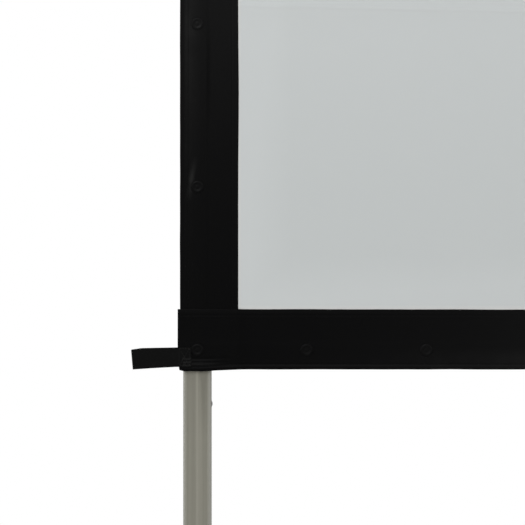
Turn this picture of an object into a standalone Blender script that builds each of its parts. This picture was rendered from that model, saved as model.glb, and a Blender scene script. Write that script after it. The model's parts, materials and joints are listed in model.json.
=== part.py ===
# Fast-fold projection screen: a square-tube frame on two telescopic legs with
# folding cross feet, and a cloth with a black vinyl border on press studs.
# Metres, +Z up, the cloth faces -Y, the origin is on the floor under the middle.
# The right half swings forward about the two book hinges at x = 0.
# The side posts fold inwards at their elbows, which lowers the top rails
# onto the bottom rails.

import math

import bmesh
import bpy
from mathutils import Matrix, Vector

# The picture area and the border round it
IMAGE_WIDTH = 2.435
IMAGE_HEIGHT = 1.370
POST_TO_IMAGE = 0.0452
RAIL_TO_IMAGE = 0.0460
POST_TO_CLOTH_EDGE = 0.0195
POST_TO_STRIP_END = 0.0221
RAIL_TO_CLOTH_EDGE = 0.0208
SURFACE_THICKNESS = 0.0008
BORDER_THICKNESS = 0.0012
SEAM_GAP = 0.0003

# The pull tab at each corner
TAB_WIDTH = 0.0217
TAB_REACH = 0.0745
TAB_DROP = 0.0083
TAB_SAG = math.radians(3.0)

# Frame tubes
TUBE = 0.03175
TUBE_WALL = 0.0020
TUBE_CORNER = 0.0030
TUBE_CORNER_STEPS = 3
RAIL_HEIGHT = 0.750
FIT = 0.0003
STEP = 0.0002
PLUG_LENGTH = 0.040
OVERRUN = 0.010

# Snaps
CORNER_TO_SNAP = 0.1225
RAIL_SNAPS = 9
POST_SNAP_PITCHES = 8
POST_SNAPS = 3
ELBOW_TO_SNAP = 0.060
STUD_RADIUS = 0.0045
STUD_HEIGHT = 0.0027
STUD_ROOT = 0.0010
STUD_SIDES = 8
CAP_RADIUS = 0.00755
CAP_CROWN_RADIUS = 0.0052
CAP_HEIGHT = 0.0016
CAP_ROOT = 0.0005
CAP_SIDES = 8

# Folding knuckles at the corners and elbows
FOLD_GAP = 0.0010
BOSS_RADIUS = 0.0080
BOSS_CLEARANCE = 0.0006
BOSS_SIDES = 16
TONGUE_THICKNESS = 0.0100
HEAD_MARGIN = 0.0020
PIN_RADIUS = 0.0030
PIN_CLEARANCE = 0.0004
PIN_HEAD_RADIUS = 0.0052
PIN_HEAD = 0.0013
PIN_SIDES = 10

# Elbow locks
LOCK_PLATE = 0.0040
LOCK_PLATE_WIDTH = 0.0160
LOCK_PLATE_RISE = 0.0095
LOCK_PIN_RISE = 0.0045
LOCK_PIN_RADIUS = 0.0022
LOCK_KNOB_RADIUS = 0.0070
LOCK_KNOB_WAIST = 0.0048
LOCK_KNOB_LENGTH = 0.0130
LOCK_KNOB_RIM = 0.0040

# Book hinges between the two halves
BOOK_GAP = 0.0010
BOOK_FLANGE = 0.0060
BOOK_FLANGE_WIDTH = 0.0240
BOOK_AXIS_CLEARANCE = 0.0005
BOOK_EYE_RADIUS = 0.0060
BOOK_EYE = 0.0030
BOOK_EYE_GAP = 0.0012
BOOK_EYE_SIDES = 16
BOOK_PIN_RADIUS = 0.0025
BOOK_PIN_HEAD_RADIUS = 0.0045
BOOK_PIN_HEAD = 0.0020

# Legs
SPIGOT_LENGTH = 0.060
LEG_LAP = 0.360
LEG_TOP_GAP = 0.014125
COLLAR_BELOW = 0.006
COLLAR_ABOVE = 0.034
COLLAR_WALL = 0.003325
COLLAR_BOSS_RADIUS = 0.0095
COLLAR_BOSS_REACH = 0.0050
COLLAR_SIDES = 16
KNOB_SCREW_RADIUS = 0.0040
KNOB_HUB_RADIUS = 0.0080
KNOB_HUB = 0.0060
KNOB_RADIUS = 0.0180
KNOB_LOBE = 0.0020
KNOB_LOBES = 6
KNOB_THICKNESS = 0.0140
KNOB_POINTS = 36
KNOB_EDGE = 0.0020

# Feet
FOOT_TUBE = 0.0254
FOOT_WALL = 0.0016
FOOT_CORNER = 0.0025
FOOT_REACH = 0.450
FOLDED_FOOT_GAP = 0.0048
PIN_TO_WALL = 0.0017
FOOT_TAIL = 0.0100
BOOT_WALL = 0.0030
BOOT_END = 0.0040
BOOT_LENGTH = 0.036
BOOT_CORNER = 0.0030
BRACKET_WALL = 0.0036
BRACKET_SIDE_GAP = 0.0005
SOCKET_SIDE_WALL = 0.0029
SOCKET_FACE_WALL = 0.003625
BRACKET_HEIGHT = 0.070
BRACKET_FLOOR = 0.0060
BRACKET_LIFT = 0.0040
CHEEK_LAP = 0.0090
CHEEK_RISE = 0.0090
BRACKET_EDGE = 0.0015

# Sizes that follow from those above
HALF_TUBE = TUBE / 2
HALF_WIDTH = IMAGE_WIDTH / 2 + POST_TO_IMAGE
FRAME_HEIGHT = IMAGE_HEIGHT + 2 * RAIL_TO_IMAGE
TOP_RAIL_HEIGHT = RAIL_HEIGHT + FRAME_HEIGHT
MID_HEIGHT = RAIL_HEIGHT + FRAME_HEIGHT / 2
PIVOT_IN = HALF_TUBE + FOLD_GAP / 2
BOSS_CUT = BOSS_RADIUS + BOSS_CLEARANCE
HEAD = PIVOT_IN + BOSS_CUT + HEAD_MARGIN
ELBOW_HEAD = BOSS_CUT + HEAD_MARGIN
PLUG = HALF_TUBE - TUBE_WALL - FIT
CLOTH_BACK = -HALF_TUBE - STUD_HEIGHT - FIT
BORDER_FRONT = CLOTH_BACK - BORDER_THICKNESS
BOOK_AXIS = BORDER_FRONT - BOOK_AXIS_CLEARANCE
LOWER_LEG_TOP = RAIL_HEIGHT - HALF_TUBE - SPIGOT_LENGTH - LEG_TOP_GAP
UPPER_LEG_BOTTOM = LOWER_LEG_TOP - LEG_LAP
COLLAR_HALF = HALF_TUBE + FIT + COLLAR_WALL
FOOT_HEIGHT = FOOT_TUBE / 2 + BOOT_WALL
FOOT_PIVOT_RISE = FOOT_TUBE / 2 - FOOT_WALL - PIN_RADIUS - PIN_CLEARANCE - PIN_TO_WALL
FOOT_PIVOT_HEIGHT = FOOT_HEIGHT + FOOT_PIVOT_RISE
FOOT_PIVOT_OUT = COLLAR_HALF + FOOT_TUBE / 2 - FOOT_PIVOT_RISE + FOLDED_FOOT_GAP
CHEEK_REACH = FOOT_PIVOT_OUT + CHEEK_LAP
CHEEK_GAP = FOOT_TUBE / 2 + BRACKET_SIDE_GAP
BRACKET_HALF_WIDTH = max(CHEEK_GAP + BRACKET_WALL, PLUG + FIT + SOCKET_SIDE_WALL)
BRACKET_HALF_DEPTH = PLUG + FIT + SOCKET_FACE_WALL
COLLAR_HEIGHT = UPPER_LEG_BOTTOM + (COLLAR_ABOVE - COLLAR_BELOW) / 2
RAIL_SNAP_PITCH = (2 * HALF_WIDTH - 2 * CORNER_TO_SNAP) / (2 * RAIL_SNAPS - 1)
POST_SNAP_PITCH = FRAME_HEIGHT / POST_SNAP_PITCHES

# Joint axes of the left half; the right half mirrors them
CORNER_PIVOT = Vector((PIVOT_IN - HALF_WIDTH, 0, RAIL_HEIGHT + PIVOT_IN))
TOP_PIVOT = Vector((PIVOT_IN - HALF_WIDTH, 0, TOP_RAIL_HEIGHT - PIVOT_IN))
ELBOW_PIVOT = Vector((-HALF_WIDTH - PIVOT_IN, 0, MID_HEIGHT))
BOOK_PIVOT = Vector((0, BOOK_AXIS, RAIL_HEIGHT))
LOCK_PIVOT = Vector((-HALF_WIDTH, 0, MID_HEIGHT + LOCK_PIN_RISE))
LEG_FOOT = Vector((-HALF_WIDTH, 0, 0))
KNOB_PIVOT = Vector((-HALF_WIDTH, 0, COLLAR_HEIGHT))
FOOT_PIVOT = Vector((-HALF_WIDTH, FOOT_PIVOT_OUT, FOOT_PIVOT_HEIGHT))

# Base colour, roughness and metallic value of each finish
FINISHES = {
    "anodised_aluminium": ((0.235, 0.228, 0.190), 0.42, 0.9),
    "cast_aluminium": ((0.200, 0.200, 0.190), 0.55, 0.8),
    "zinc_steel": ((0.450, 0.450, 0.440), 0.35, 1.0),
    "black_vinyl": ((0.0060, 0.0060, 0.0065), 0.45, 0.0),
    "rear_projection_vinyl": ((0.545, 0.570, 0.555), 0.85, 0.0),
    "black_plastic": ((0.012, 0.012, 0.012), 0.40, 0.0),
    "black_rubber": ((0.016, 0.016, 0.016), 0.80, 0.0),
}

SMOOTH_BELOW = math.radians(35)
WELD = 0.00001


def clear_scene():
    for obj in list(bpy.data.objects):
        bpy.data.objects.remove(obj)


def new_collection(name):
    collection = bpy.data.collections.new(name)
    bpy.context.scene.collection.children.link(collection)
    return collection


clear_scene()
SCREEN = new_collection("fast_fold_screen")
TOOLS = new_collection("tools")
TOOLS.hide_render = True


def finish(name):
    colour, roughness, metallic = FINISHES[name]
    found = bpy.data.materials.get(name)
    if found:
        return found
    made = bpy.data.materials.new(name)
    made.use_nodes = True
    shader = made.node_tree.nodes["Principled BSDF"]
    shader.inputs["Base Color"].default_value = (*colour, 1)
    shader.inputs["Roughness"].default_value = roughness
    shader.inputs["Metallic"].default_value = metallic
    made.diffuse_color = (*colour, 1)
    return made


# Shapes. Each returns a loose object in the tools collection.


def from_bmesh(shape):
    mesh = bpy.data.meshes.new("shape")
    shape.to_mesh(mesh)
    shape.free()
    obj = bpy.data.objects.new("shape", mesh)
    obj.display_type = "WIRE"
    obj.hide_render = True
    TOOLS.objects.link(obj)
    return obj


def block(low, high, round_along=None, corner=None):
    """A box between two corners, with the four edges along one axis rounded on request."""
    low = Vector(low)
    high = Vector(high)
    shape = bmesh.new()
    bmesh.ops.create_cube(shape, size=1)
    bmesh.ops.scale(shape, vec=high - low, verts=shape.verts)
    bmesh.ops.translate(shape, vec=(low + high) / 2, verts=shape.verts)
    if round_along is not None:
        lengthways = []
        for edge in shape.edges:
            run = edge.verts[1].co - edge.verts[0].co
            if abs(run[round_along]) > max(abs(run[a]) for a in range(3) if a != round_along):
                lengthways.append(edge)
        bmesh.ops.bevel(
            shape,
            geom=lengthways,
            offset=corner,
            segments=TUBE_CORNER_STEPS,
            profile=0.5,
            affect="EDGES",
        )
    return from_bmesh(shape)


def bar(along, start, end, centre, half, corner):
    """A square bar along X, Y or Z (0, 1 or 2), with its four long edges rounded."""
    low = [c - half for c in centre]
    high = [c + half for c in centre]
    low[along] = start
    high[along] = end
    return block(low, high, along, corner)


def rod(start, end, radius, sides, end_radius=None):
    """A round bar, or a cone, between two points."""
    start = Vector(start)
    run = Vector(end) - start
    shape = bmesh.new()
    bmesh.ops.create_cone(
        shape,
        cap_ends=True,
        segments=sides,
        radius1=radius,
        radius2=radius if end_radius is None else end_radius,
        depth=run.length,
    )
    turn = run.to_track_quat("Z", "Y").to_matrix().to_4x4()
    bmesh.ops.transform(shape, matrix=Matrix.Translation(start + run / 2) @ turn, verts=shape.verts)
    return from_bmesh(shape)


def turned(profile, place, sides):
    """A solid of revolution. The profile's points are (radius, height), top to bottom."""
    mesh = bpy.data.meshes.new("profile")
    points = [(radius, 0, height) for radius, height in profile]
    mesh.from_pydata(points, [(n, n + 1) for n in range(len(points) - 1)], [])
    obj = bpy.data.objects.new("profile", mesh)
    TOOLS.objects.link(obj)
    screw = obj.modifiers.new("turn", "SCREW")
    screw.steps = sides
    screw.render_steps = sides
    screw.use_merge_vertices = True
    screw.merge_threshold = WELD
    mesh = evaluated_mesh(obj)
    bpy.data.objects.remove(obj)
    mesh.transform(place)
    made = bpy.data.objects.new("turned", mesh)
    made.hide_render = True
    TOOLS.objects.link(made)
    return made


def pin_between(foot, axis, length, radius, head_radius, head, heads=2):
    """A pin along an axis from the foot point, with its heads outside the stated length."""
    crown = head_radius - head / 2
    profile = [(0, length + head), (crown, length + head), (head_radius, length), (radius, length)]
    if heads == 2:
        profile += [(radius, 0), (head_radius, 0), (crown, -head), (0, -head)]
    else:
        profile += [(radius, 0), (0, 0)]
    turn = Vector(axis).to_track_quat("Z", "Y").to_matrix().to_4x4()
    return turned(profile, Matrix.Translation(Vector(foot)) @ turn, PIN_SIDES)


def outline(points, back, front):
    """A flat plate with this outline in X and Z, between two Y levels."""
    curve = bpy.data.curves.new("outline", "CURVE")
    curve.dimensions = "2D"
    curve.fill_mode = "BOTH"
    curve_half = (back - front) / 2
    curve.extrude = curve_half
    spline = curve.splines.new("POLY")
    spline.points.add(len(points) - 1)
    for point, (x, z) in zip(spline.points, points):
        point.co = (x, z, 0, 1)
    spline.use_cyclic_u = True
    obj = bpy.data.objects.new("outline", curve)
    TOOLS.objects.link(obj)
    mesh = evaluated_mesh(obj)
    bpy.data.objects.remove(obj)
    shape = bmesh.new()
    shape.from_mesh(mesh)
    bmesh.ops.remove_doubles(shape, verts=shape.verts, dist=WELD)
    for side in (-1, 1):
        level = side * curve_half
        cap_faces = [f for f in shape.faces if all(abs(v.co.z - level) < WELD for v in f.verts)]
        bmesh.ops.dissolve_faces(shape, faces=cap_faces)
    stand = Matrix.Translation((0, (back + front) / 2, 0)) @ Matrix.Rotation(math.pi / 2, 4, "X")
    bmesh.ops.transform(shape, matrix=stand, verts=shape.verts)
    bmesh.ops.recalc_face_normals(shape, faces=shape.faces)
    return from_bmesh(shape)


def evaluated_mesh(obj):
    bpy.context.view_layer.update()
    graph = bpy.context.evaluated_depsgraph_get()
    return bpy.data.meshes.new_from_object(obj.evaluated_get(graph))


def boolean(target, other, operation):
    modifier = target.modifiers.new("boolean", "BOOLEAN")
    modifier.operation = operation
    modifier.object = other
    mesh = evaluated_mesh(target)
    target.modifiers.clear()
    target.data = mesh
    bpy.data.objects.remove(other)


def join(target, *others):
    for other in others:
        boolean(target, other, "UNION")
    return target


def cut(target, *others):
    for other in others:
        boolean(target, other, "DIFFERENCE")
    return target


def together(shapes):
    """One loose object from shapes that don't touch each other, so one Boolean takes them all."""
    shape = bmesh.new()
    for obj in shapes:
        shape.from_mesh(obj.data)
        bpy.data.objects.remove(obj)
    return from_bmesh(shape)


PIECES = {}


def piece(name, shape, finish_name):
    """Turns a shape into a named piece of the screen."""
    mesh = shape.data
    bpy.data.objects.remove(shape)
    made = bpy.data.objects.new(name, mesh)
    mesh.name = name
    mesh.materials.clear()
    mesh.materials.append(finish(finish_name))
    mesh.shade_smooth()
    mesh.set_sharp_from_angle(angle=SMOOTH_BELOW)
    SCREEN.objects.link(made)
    PIECES[name] = made
    return made


def copied(source, name, matrix):
    """A named copy of a piece, moved or mirrored by the matrix."""
    mesh = PIECES[source].data.copy()
    mesh.name = name
    mesh.transform(matrix)
    if matrix.determinant() < 0:
        mesh.flip_normals()
    made = bpy.data.objects.new(name, mesh)
    SCREEN.objects.link(made)
    PIECES[name] = made
    return made


ACROSS = Matrix.Scale(-1, 4, Vector((1, 0, 0)))
TO_REAR = Matrix.Scale(-1, 4, Vector((0, 1, 0)))
UPSIDE_DOWN = Matrix.Translation((0, 0, 2 * MID_HEIGHT)) @ Matrix.Scale(-1, 4, Vector((0, 0, 1)))
TO_TOP_RAIL = Matrix.Translation((0, 0, FRAME_HEIGHT))


def mirrored(name):
    """The right-hand copy of a left-hand piece."""
    return copied(name, name.replace("left", "right"), ACROSS)


# Frame tubes and their snap studs


def rail_snap_places():
    """Distances of one half rail's snaps from the middle of the screen."""
    return [(n + 0.5) * RAIL_SNAP_PITCH for n in range(RAIL_SNAPS)]


def post_snap_heights():
    """Heights of the lower post's snaps above the bottom rail."""
    heights = [(n + 1) * POST_SNAP_PITCH for n in range(POST_SNAPS)]
    return heights + [FRAME_HEIGHT / 2 - ELBOW_TO_SNAP]


def stud(x, z):
    face = -HALF_TUBE
    return rod((x, face + STUD_ROOT, z), (x, face - STUD_HEIGHT, z), STUD_RADIUS, STUD_SIDES)


def frame_tube(along, start, end, centre):
    tube = bar(along, start, end, centre, HALF_TUBE, TUBE_CORNER)
    low = [c - HALF_TUBE + TUBE_WALL for c in centre]
    high = [c + HALF_TUBE - TUBE_WALL for c in centre]
    low[along] = start - OVERRUN
    high[along] = end + OVERRUN
    return cut(tube, block(low, high))


def make_rails():
    inner_end = -(BOOK_GAP / 2 + BOOK_FLANGE + FIT)
    rail = frame_tube(0, HEAD + FIT - HALF_WIDTH, inner_end, (0, 0, RAIL_HEIGHT))
    studs = [stud(-x, RAIL_HEIGHT) for x in rail_snap_places()]
    piece("bottom_rail_left", join(rail, together(studs)), "anodised_aluminium")
    copied("bottom_rail_left", "top_rail_left", TO_TOP_RAIL)
    mirrored("bottom_rail_left")
    mirrored("top_rail_left")


def make_posts():
    top = MID_HEIGHT - ELBOW_HEAD - FIT
    post = frame_tube(2, RAIL_HEIGHT + HEAD + FIT, top, (-HALF_WIDTH, 0, 0))
    studs = [stud(-HALF_WIDTH, RAIL_HEIGHT + height) for height in post_snap_heights()]
    piece("lower_post_left", join(post, together(studs)), "anodised_aluminium")
    copied("lower_post_left", "upper_post_left", UPSIDE_DOWN)
    mirrored("lower_post_left")
    mirrored("upper_post_left")


# Knuckles: a fork with a lug on each side, and a tongue between them


def boss(pivot, half):
    return rod(pivot - Vector((0, half, 0)), pivot + Vector((0, half, 0)), BOSS_RADIUS, BOSS_SIDES)


def fork_cuts(pivot):
    half = TONGUE_THICKNESS / 2 + FIT
    slot = rod(pivot - Vector((0, half, 0)), pivot + Vector((0, half, 0)), BOSS_CUT, BOSS_SIDES)
    return slot, pin_hole(pivot)


def tongue_cuts(pivot):
    half = TONGUE_THICKNESS / 2
    reach = HALF_TUBE + OVERRUN
    sides = [
        rod(pivot + Vector((0, s * half, 0)), pivot + Vector((0, s * reach, 0)), BOSS_CUT, BOSS_SIDES)
        for s in (-1, 1)
    ]
    return together(sides), pin_hole(pivot)


def pin_hole(pivot):
    reach = Vector((0, HALF_TUBE + OVERRUN, 0))
    return rod(pivot - reach, pivot + reach, PIN_RADIUS + PIN_CLEARANCE, PIN_SIDES)


def plug(along, start, end, centre):
    low = [c - PLUG for c in centre]
    high = [c + PLUG for c in centre]
    low[along] = start
    high[along] = end
    return block(low, high)


def corner_casting(height, pivot, spigot):
    """The casting that owns a corner, plugs into its rail and carries the post's pivot."""
    centre = (-HALF_WIDTH, 0, height)
    head = HEAD - HALF_WIDTH
    shape = bar(0, -HALF_WIDTH - HALF_TUBE, head, centre, HALF_TUBE, TUBE_CORNER)
    join(shape, plug(0, head - OVERRUN, head + PLUG_LENGTH, centre))
    if spigot:
        under = height - HALF_TUBE
        join(shape, plug(2, under - SPIGOT_LENGTH, under + OVERRUN, centre))
    join(shape, boss(pivot, HALF_TUBE - STEP), stud(-HALF_WIDTH, height))
    return cut(shape, *fork_cuts(pivot))


def make_corners():
    bottom = corner_casting(RAIL_HEIGHT, CORNER_PIVOT, True)
    top = corner_casting(TOP_RAIL_HEIGHT, TOP_PIVOT, False)
    piece("bottom_corner_left", bottom, "cast_aluminium")
    piece("top_corner_left", top, "cast_aluminium")
    mirrored("bottom_corner_left")
    mirrored("top_corner_left")


def make_post_hinges():
    centre = (-HALF_WIDTH, 0, 0)
    bottom = RAIL_HEIGHT + HALF_TUBE + FOLD_GAP
    top = RAIL_HEIGHT + HEAD
    shape = bar(2, bottom, top, centre, HALF_TUBE, TUBE_CORNER)
    join(shape, plug(2, top - HEAD_MARGIN, top + PLUG_LENGTH, centre))
    join(shape, boss(CORNER_PIVOT, TONGUE_THICKNESS / 2))
    piece("bottom_post_hinge_left", cut(shape, *tongue_cuts(CORNER_PIVOT)), "cast_aluminium")
    copied("bottom_post_hinge_left", "top_post_hinge_left", UPSIDE_DOWN)
    mirrored("bottom_post_hinge_left")
    mirrored("top_post_hinge_left")


def make_knuckle_pins():
    length = TUBE + 2 * FIT
    places = (("bottom_corner_pin", CORNER_PIVOT), ("top_corner_pin", TOP_PIVOT), ("elbow_pin", ELBOW_PIVOT))
    for name, pivot in places:
        foot = pivot - Vector((0, length / 2, 0))
        pin = pin_between(foot, (0, 1, 0), length, PIN_RADIUS, PIN_HEAD_RADIUS, PIN_HEAD)
        piece(name + "_left", pin, "zinc_steel")
        mirrored(name + "_left")


def make_elbows():
    centre = (-HALF_WIDTH, 0, 0)
    inner = MID_HEIGHT - FOLD_GAP / 2
    outer = MID_HEIGHT - ELBOW_HEAD
    fork = bar(2, outer, inner, centre, HALF_TUBE, TUBE_CORNER)
    join(fork, plug(2, outer - PLUG_LENGTH, outer + HEAD_MARGIN, centre))
    join(fork, boss(ELBOW_PIVOT, HALF_TUBE - STEP))
    cut(fork, *fork_cuts(ELBOW_PIVOT))
    low_x = -HALF_WIDTH - LOCK_PLATE_WIDTH / 2
    high_x = -HALF_WIDTH + LOCK_PLATE_WIDTH / 2
    plate_back = HALF_TUBE + FIT + LOCK_PLATE
    plate = block(
        (low_x, HALF_TUBE + FIT, outer + STEP),
        (high_x, plate_back, MID_HEIGHT + LOCK_PLATE_RISE),
    )
    foot = block(
        (low_x + STEP, HALF_TUBE - STUD_ROOT, outer + 2 * STEP),
        (high_x - STEP, HALF_TUBE + LOCK_PLATE / 2, inner - FOLD_GAP),
    )
    join(fork, join(plate, foot))
    bore = rod(
        LOCK_PIVOT + Vector((0, HALF_TUBE, 0)),
        LOCK_PIVOT + Vector((0, plate_back + OVERRUN, 0)),
        LOCK_PIN_RADIUS + FIT,
        PIN_SIDES,
    )
    piece("elbow_fork_left", cut(fork, bore), "cast_aluminium")
    tongue = bar(2, 2 * MID_HEIGHT - inner, 2 * MID_HEIGHT - outer, centre, HALF_TUBE, TUBE_CORNER)
    top = MID_HEIGHT + ELBOW_HEAD
    join(tongue, plug(2, top - HEAD_MARGIN, top + PLUG_LENGTH, centre))
    join(tongue, boss(ELBOW_PIVOT, TONGUE_THICKNESS / 2))
    piece("elbow_tongue_left", cut(tongue, *tongue_cuts(ELBOW_PIVOT)), "cast_aluminium")
    mirrored("elbow_fork_left")
    mirrored("elbow_tongue_left")


def make_elbow_locks():
    """A spring plunger behind each elbow, whose nose stops just short of the tongue."""
    nose = HALF_TUBE + 2 * FIT
    seat = HALF_TUBE + FIT + LOCK_PLATE + FIT
    end = seat + LOCK_KNOB_LENGTH
    rim = LOCK_KNOB_RIM
    profile = [
        (0, end),
        (LOCK_KNOB_RADIUS - rim / 4, end),
        (LOCK_KNOB_RADIUS, end - rim / 4),
        (LOCK_KNOB_RADIUS, end - rim),
        (LOCK_KNOB_WAIST, end - rim),
        (LOCK_KNOB_WAIST, seat),
        (LOCK_PIN_RADIUS, seat),
        (LOCK_PIN_RADIUS, nose),
        (0, nose),
    ]
    turn = Vector((0, 1, 0)).to_track_quat("Z", "Y").to_matrix().to_4x4()
    shape = turned(profile, Matrix.Translation(LOCK_PIVOT) @ turn, BOOK_EYE_SIDES)
    piece("elbow_plunger_left", shape, "zinc_steel")
    mirrored("elbow_plunger_left")


# Book hinges at x = 0, one above the top rails and one below the bottom rails


def book_hinge(layer):
    """The left casting above the top rail, with its eye in the first or second layer."""
    centre = (0, 0, TOP_RAIL_HEIGHT)
    outer = -(BOOK_GAP / 2 + BOOK_FLANGE)
    inner = -BOOK_GAP / 2
    half = BOOK_FLANGE_WIDTH / 2
    eye_bottom = TOP_RAIL_HEIGHT + RAIL_TO_CLOTH_EDGE + BOOK_EYE_GAP + layer * (BOOK_EYE + FIT)
    eye_top = eye_bottom + BOOK_EYE
    shape = bar(0, outer, inner, centre, HALF_TUBE, TUBE_CORNER)
    join(shape, plug(0, outer - PLUG_LENGTH, outer + HEAD_MARGIN, centre))
    join(shape, block((outer + STEP, -half, TOP_RAIL_HEIGHT), (inner - STEP, half, eye_top)))
    arm = block(
        (outer + 2 * STEP, BOOK_AXIS, eye_bottom + STEP),
        (inner - 2 * STEP, 0, eye_top - STEP),
    )
    eye = rod((0, BOOK_AXIS, eye_bottom), (0, BOOK_AXIS, eye_top), BOOK_EYE_RADIUS, BOOK_EYE_SIDES)
    join(shape, join(arm, eye))
    hole = rod(
        (0, BOOK_AXIS, eye_bottom - OVERRUN),
        (0, BOOK_AXIS, eye_top + OVERRUN),
        BOOK_PIN_RADIUS + FIT,
        PIN_SIDES,
    )
    return cut(shape, hole)


def make_book_hinges():
    piece("top_book_hinge_left", book_hinge(0), "cast_aluminium")
    piece("top_book_hinge_right", book_hinge(1), "cast_aluminium")
    right = PIECES["top_book_hinge_right"].data
    right.transform(ACROSS)
    right.flip_normals()
    copied("top_book_hinge_left", "bottom_book_hinge_left", UPSIDE_DOWN)
    copied("top_book_hinge_right", "bottom_book_hinge_right", UPSIDE_DOWN)
    foot = (0, BOOK_AXIS, TOP_RAIL_HEIGHT + RAIL_TO_CLOTH_EDGE + BOOK_EYE_GAP)
    length = 2 * BOOK_EYE + 2 * FIT
    pin = pin_between(foot, (0, 0, 1), length, BOOK_PIN_RADIUS, BOOK_PIN_HEAD_RADIUS, BOOK_PIN_HEAD, 1)
    piece("top_book_pin", pin, "zinc_steel")
    copied("top_book_pin", "bottom_book_pin", UPSIDE_DOWN)


# Legs


def screw_hole(radius):
    x = -HALF_WIDTH
    return rod((x - TUBE - OVERRUN, 0, COLLAR_HEIGHT), (x, 0, COLLAR_HEIGHT), radius, PIN_SIDES)


def make_legs():
    centre = (-HALF_WIDTH, 0, 0)
    top = RAIL_HEIGHT - HALF_TUBE - FIT
    upper = frame_tube(2, UPPER_LEG_BOTTOM, top, centre)
    cut(upper, screw_hole(KNOB_SCREW_RADIUS + FIT))
    piece("upper_leg_left", upper, "anodised_aluminium")
    bottom = BRACKET_LIFT + BRACKET_FLOOR + FIT
    lower = bar(2, bottom, LOWER_LEG_TOP, centre, PLUG, TUBE_CORNER - TUBE_WALL)
    inside = PLUG - TUBE_WALL
    x = -HALF_WIDTH
    bore = block((x - inside, -inside, bottom - OVERRUN), (x + inside, inside, LOWER_LEG_TOP + OVERRUN))
    piece("lower_leg_left", cut(lower, bore), "anodised_aluminium")
    mirrored("upper_leg_left")
    mirrored("lower_leg_left")


def make_collars():
    x = -HALF_WIDTH
    half = COLLAR_HALF
    bottom = UPPER_LEG_BOTTOM - COLLAR_BELOW
    top = UPPER_LEG_BOTTOM + COLLAR_ABOVE
    shape = bar(2, bottom, top, (x, 0, 0), half, TUBE_CORNER)
    join(
        shape,
        rod(
            (x, 0, COLLAR_HEIGHT),
            (x - half - COLLAR_BOSS_REACH, 0, COLLAR_HEIGHT),
            COLLAR_BOSS_RADIUS,
            COLLAR_SIDES,
        ),
    )
    sleeve = HALF_TUBE + FIT
    inner = PLUG + 2 * FIT
    outer_bore = block((x - sleeve, -sleeve, UPPER_LEG_BOTTOM - FIT), (x + sleeve, sleeve, top + OVERRUN))
    inner_bore = block((x - inner, -inner, bottom - OVERRUN), (x + inner, inner, top))
    cut(shape, outer_bore, inner_bore, screw_hole(KNOB_SCREW_RADIUS + FIT))
    piece("leg_collar_left", shape, "black_plastic")
    mirrored("leg_collar_left")


def lobed_grip(start, end):
    """The knob's six-lobed head, as a circle pushed in and out by a cosine."""
    shape = bmesh.new()
    bmesh.ops.create_circle(shape, cap_ends=True, segments=KNOB_POINTS, radius=KNOB_RADIUS)
    for vertex in shape.verts:
        angle = math.atan2(vertex.co.y, vertex.co.x)
        radius = KNOB_RADIUS + KNOB_LOBE * math.cos(KNOB_LOBES * angle)
        vertex.co = (radius * math.cos(angle), radius * math.sin(angle), 0)
    made = bmesh.ops.extrude_face_region(shape, geom=list(shape.faces))
    moved = [v for v in made["geom"] if isinstance(v, bmesh.types.BMVert)]
    bmesh.ops.translate(shape, vec=(0, 0, end - start), verts=moved)
    bmesh.ops.translate(shape, vec=(0, 0, start), verts=shape.verts)
    bmesh.ops.recalc_face_normals(shape, faces=shape.faces)
    turn = Vector((-1, 0, 0)).to_track_quat("Z", "Y").to_matrix().to_4x4()
    bmesh.ops.transform(shape, matrix=Matrix.Translation(KNOB_PIVOT) @ turn, verts=shape.verts)
    return from_bmesh(shape)


def make_knobs():
    x = -HALF_WIDTH
    z = COLLAR_HEIGHT
    seat = COLLAR_HALF + COLLAR_BOSS_REACH + FIT
    grip = seat + KNOB_HUB
    shape = lobed_grip(grip, grip + KNOB_THICKNESS)
    hub = rod((x - seat, 0, z), (x - grip - KNOB_EDGE, 0, z), KNOB_HUB_RADIUS, COLLAR_SIDES)
    screw = rod((x - PLUG - FIT, 0, z), (x - grip, 0, z), KNOB_SCREW_RADIUS, PIN_SIDES)
    piece("leg_knob_left", join(shape, join(hub, screw)), "black_plastic")
    mirrored("leg_knob_left")


# Feet


def foot_pin_hole(out):
    x = -HALF_WIDTH
    reach = BRACKET_HALF_WIDTH + OVERRUN
    z = FOOT_PIVOT_HEIGHT
    return rod((x - reach, out, z), (x + reach, out, z), PIN_RADIUS + PIN_CLEARANCE, PIN_SIDES)


def make_brackets():
    x = -HALF_WIDTH
    half_x = BRACKET_HALF_WIDTH
    inner_x = CHEEK_GAP
    half_y = BRACKET_HALF_DEPTH
    low = BRACKET_LIFT
    cheek_top = FOOT_PIVOT_HEIGHT + CHEEK_RISE
    shape = block((x - half_x, -half_y, low), (x + half_x, half_y, BRACKET_HEIGHT), 2, BRACKET_EDGE)
    cheeks = block(
        (x - half_x + STEP, -CHEEK_REACH, low + STEP),
        (x + half_x - STEP, CHEEK_REACH, cheek_top),
        0,
        BRACKET_EDGE,
    )
    gaps = [
        block(
            (x - inner_x, min(s * half_y, s * (CHEEK_REACH + OVERRUN)), low - OVERRUN),
            (x + inner_x, max(s * half_y, s * (CHEEK_REACH + OVERRUN)), cheek_top + OVERRUN),
        )
        for s in (-1, 1)
    ]
    join(shape, cut(cheeks, together(gaps)))
    bore = PLUG + FIT
    floor = BRACKET_LIFT + BRACKET_FLOOR
    cut(shape, block((x - bore, -bore, floor), (x + bore, bore, BRACKET_HEIGHT + OVERRUN)))
    cut(shape, together([foot_pin_hole(FOOT_PIVOT_OUT), foot_pin_hole(-FOOT_PIVOT_OUT)]))
    piece("foot_bracket_left", shape, "cast_aluminium")
    mirrored("foot_bracket_left")


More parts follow.
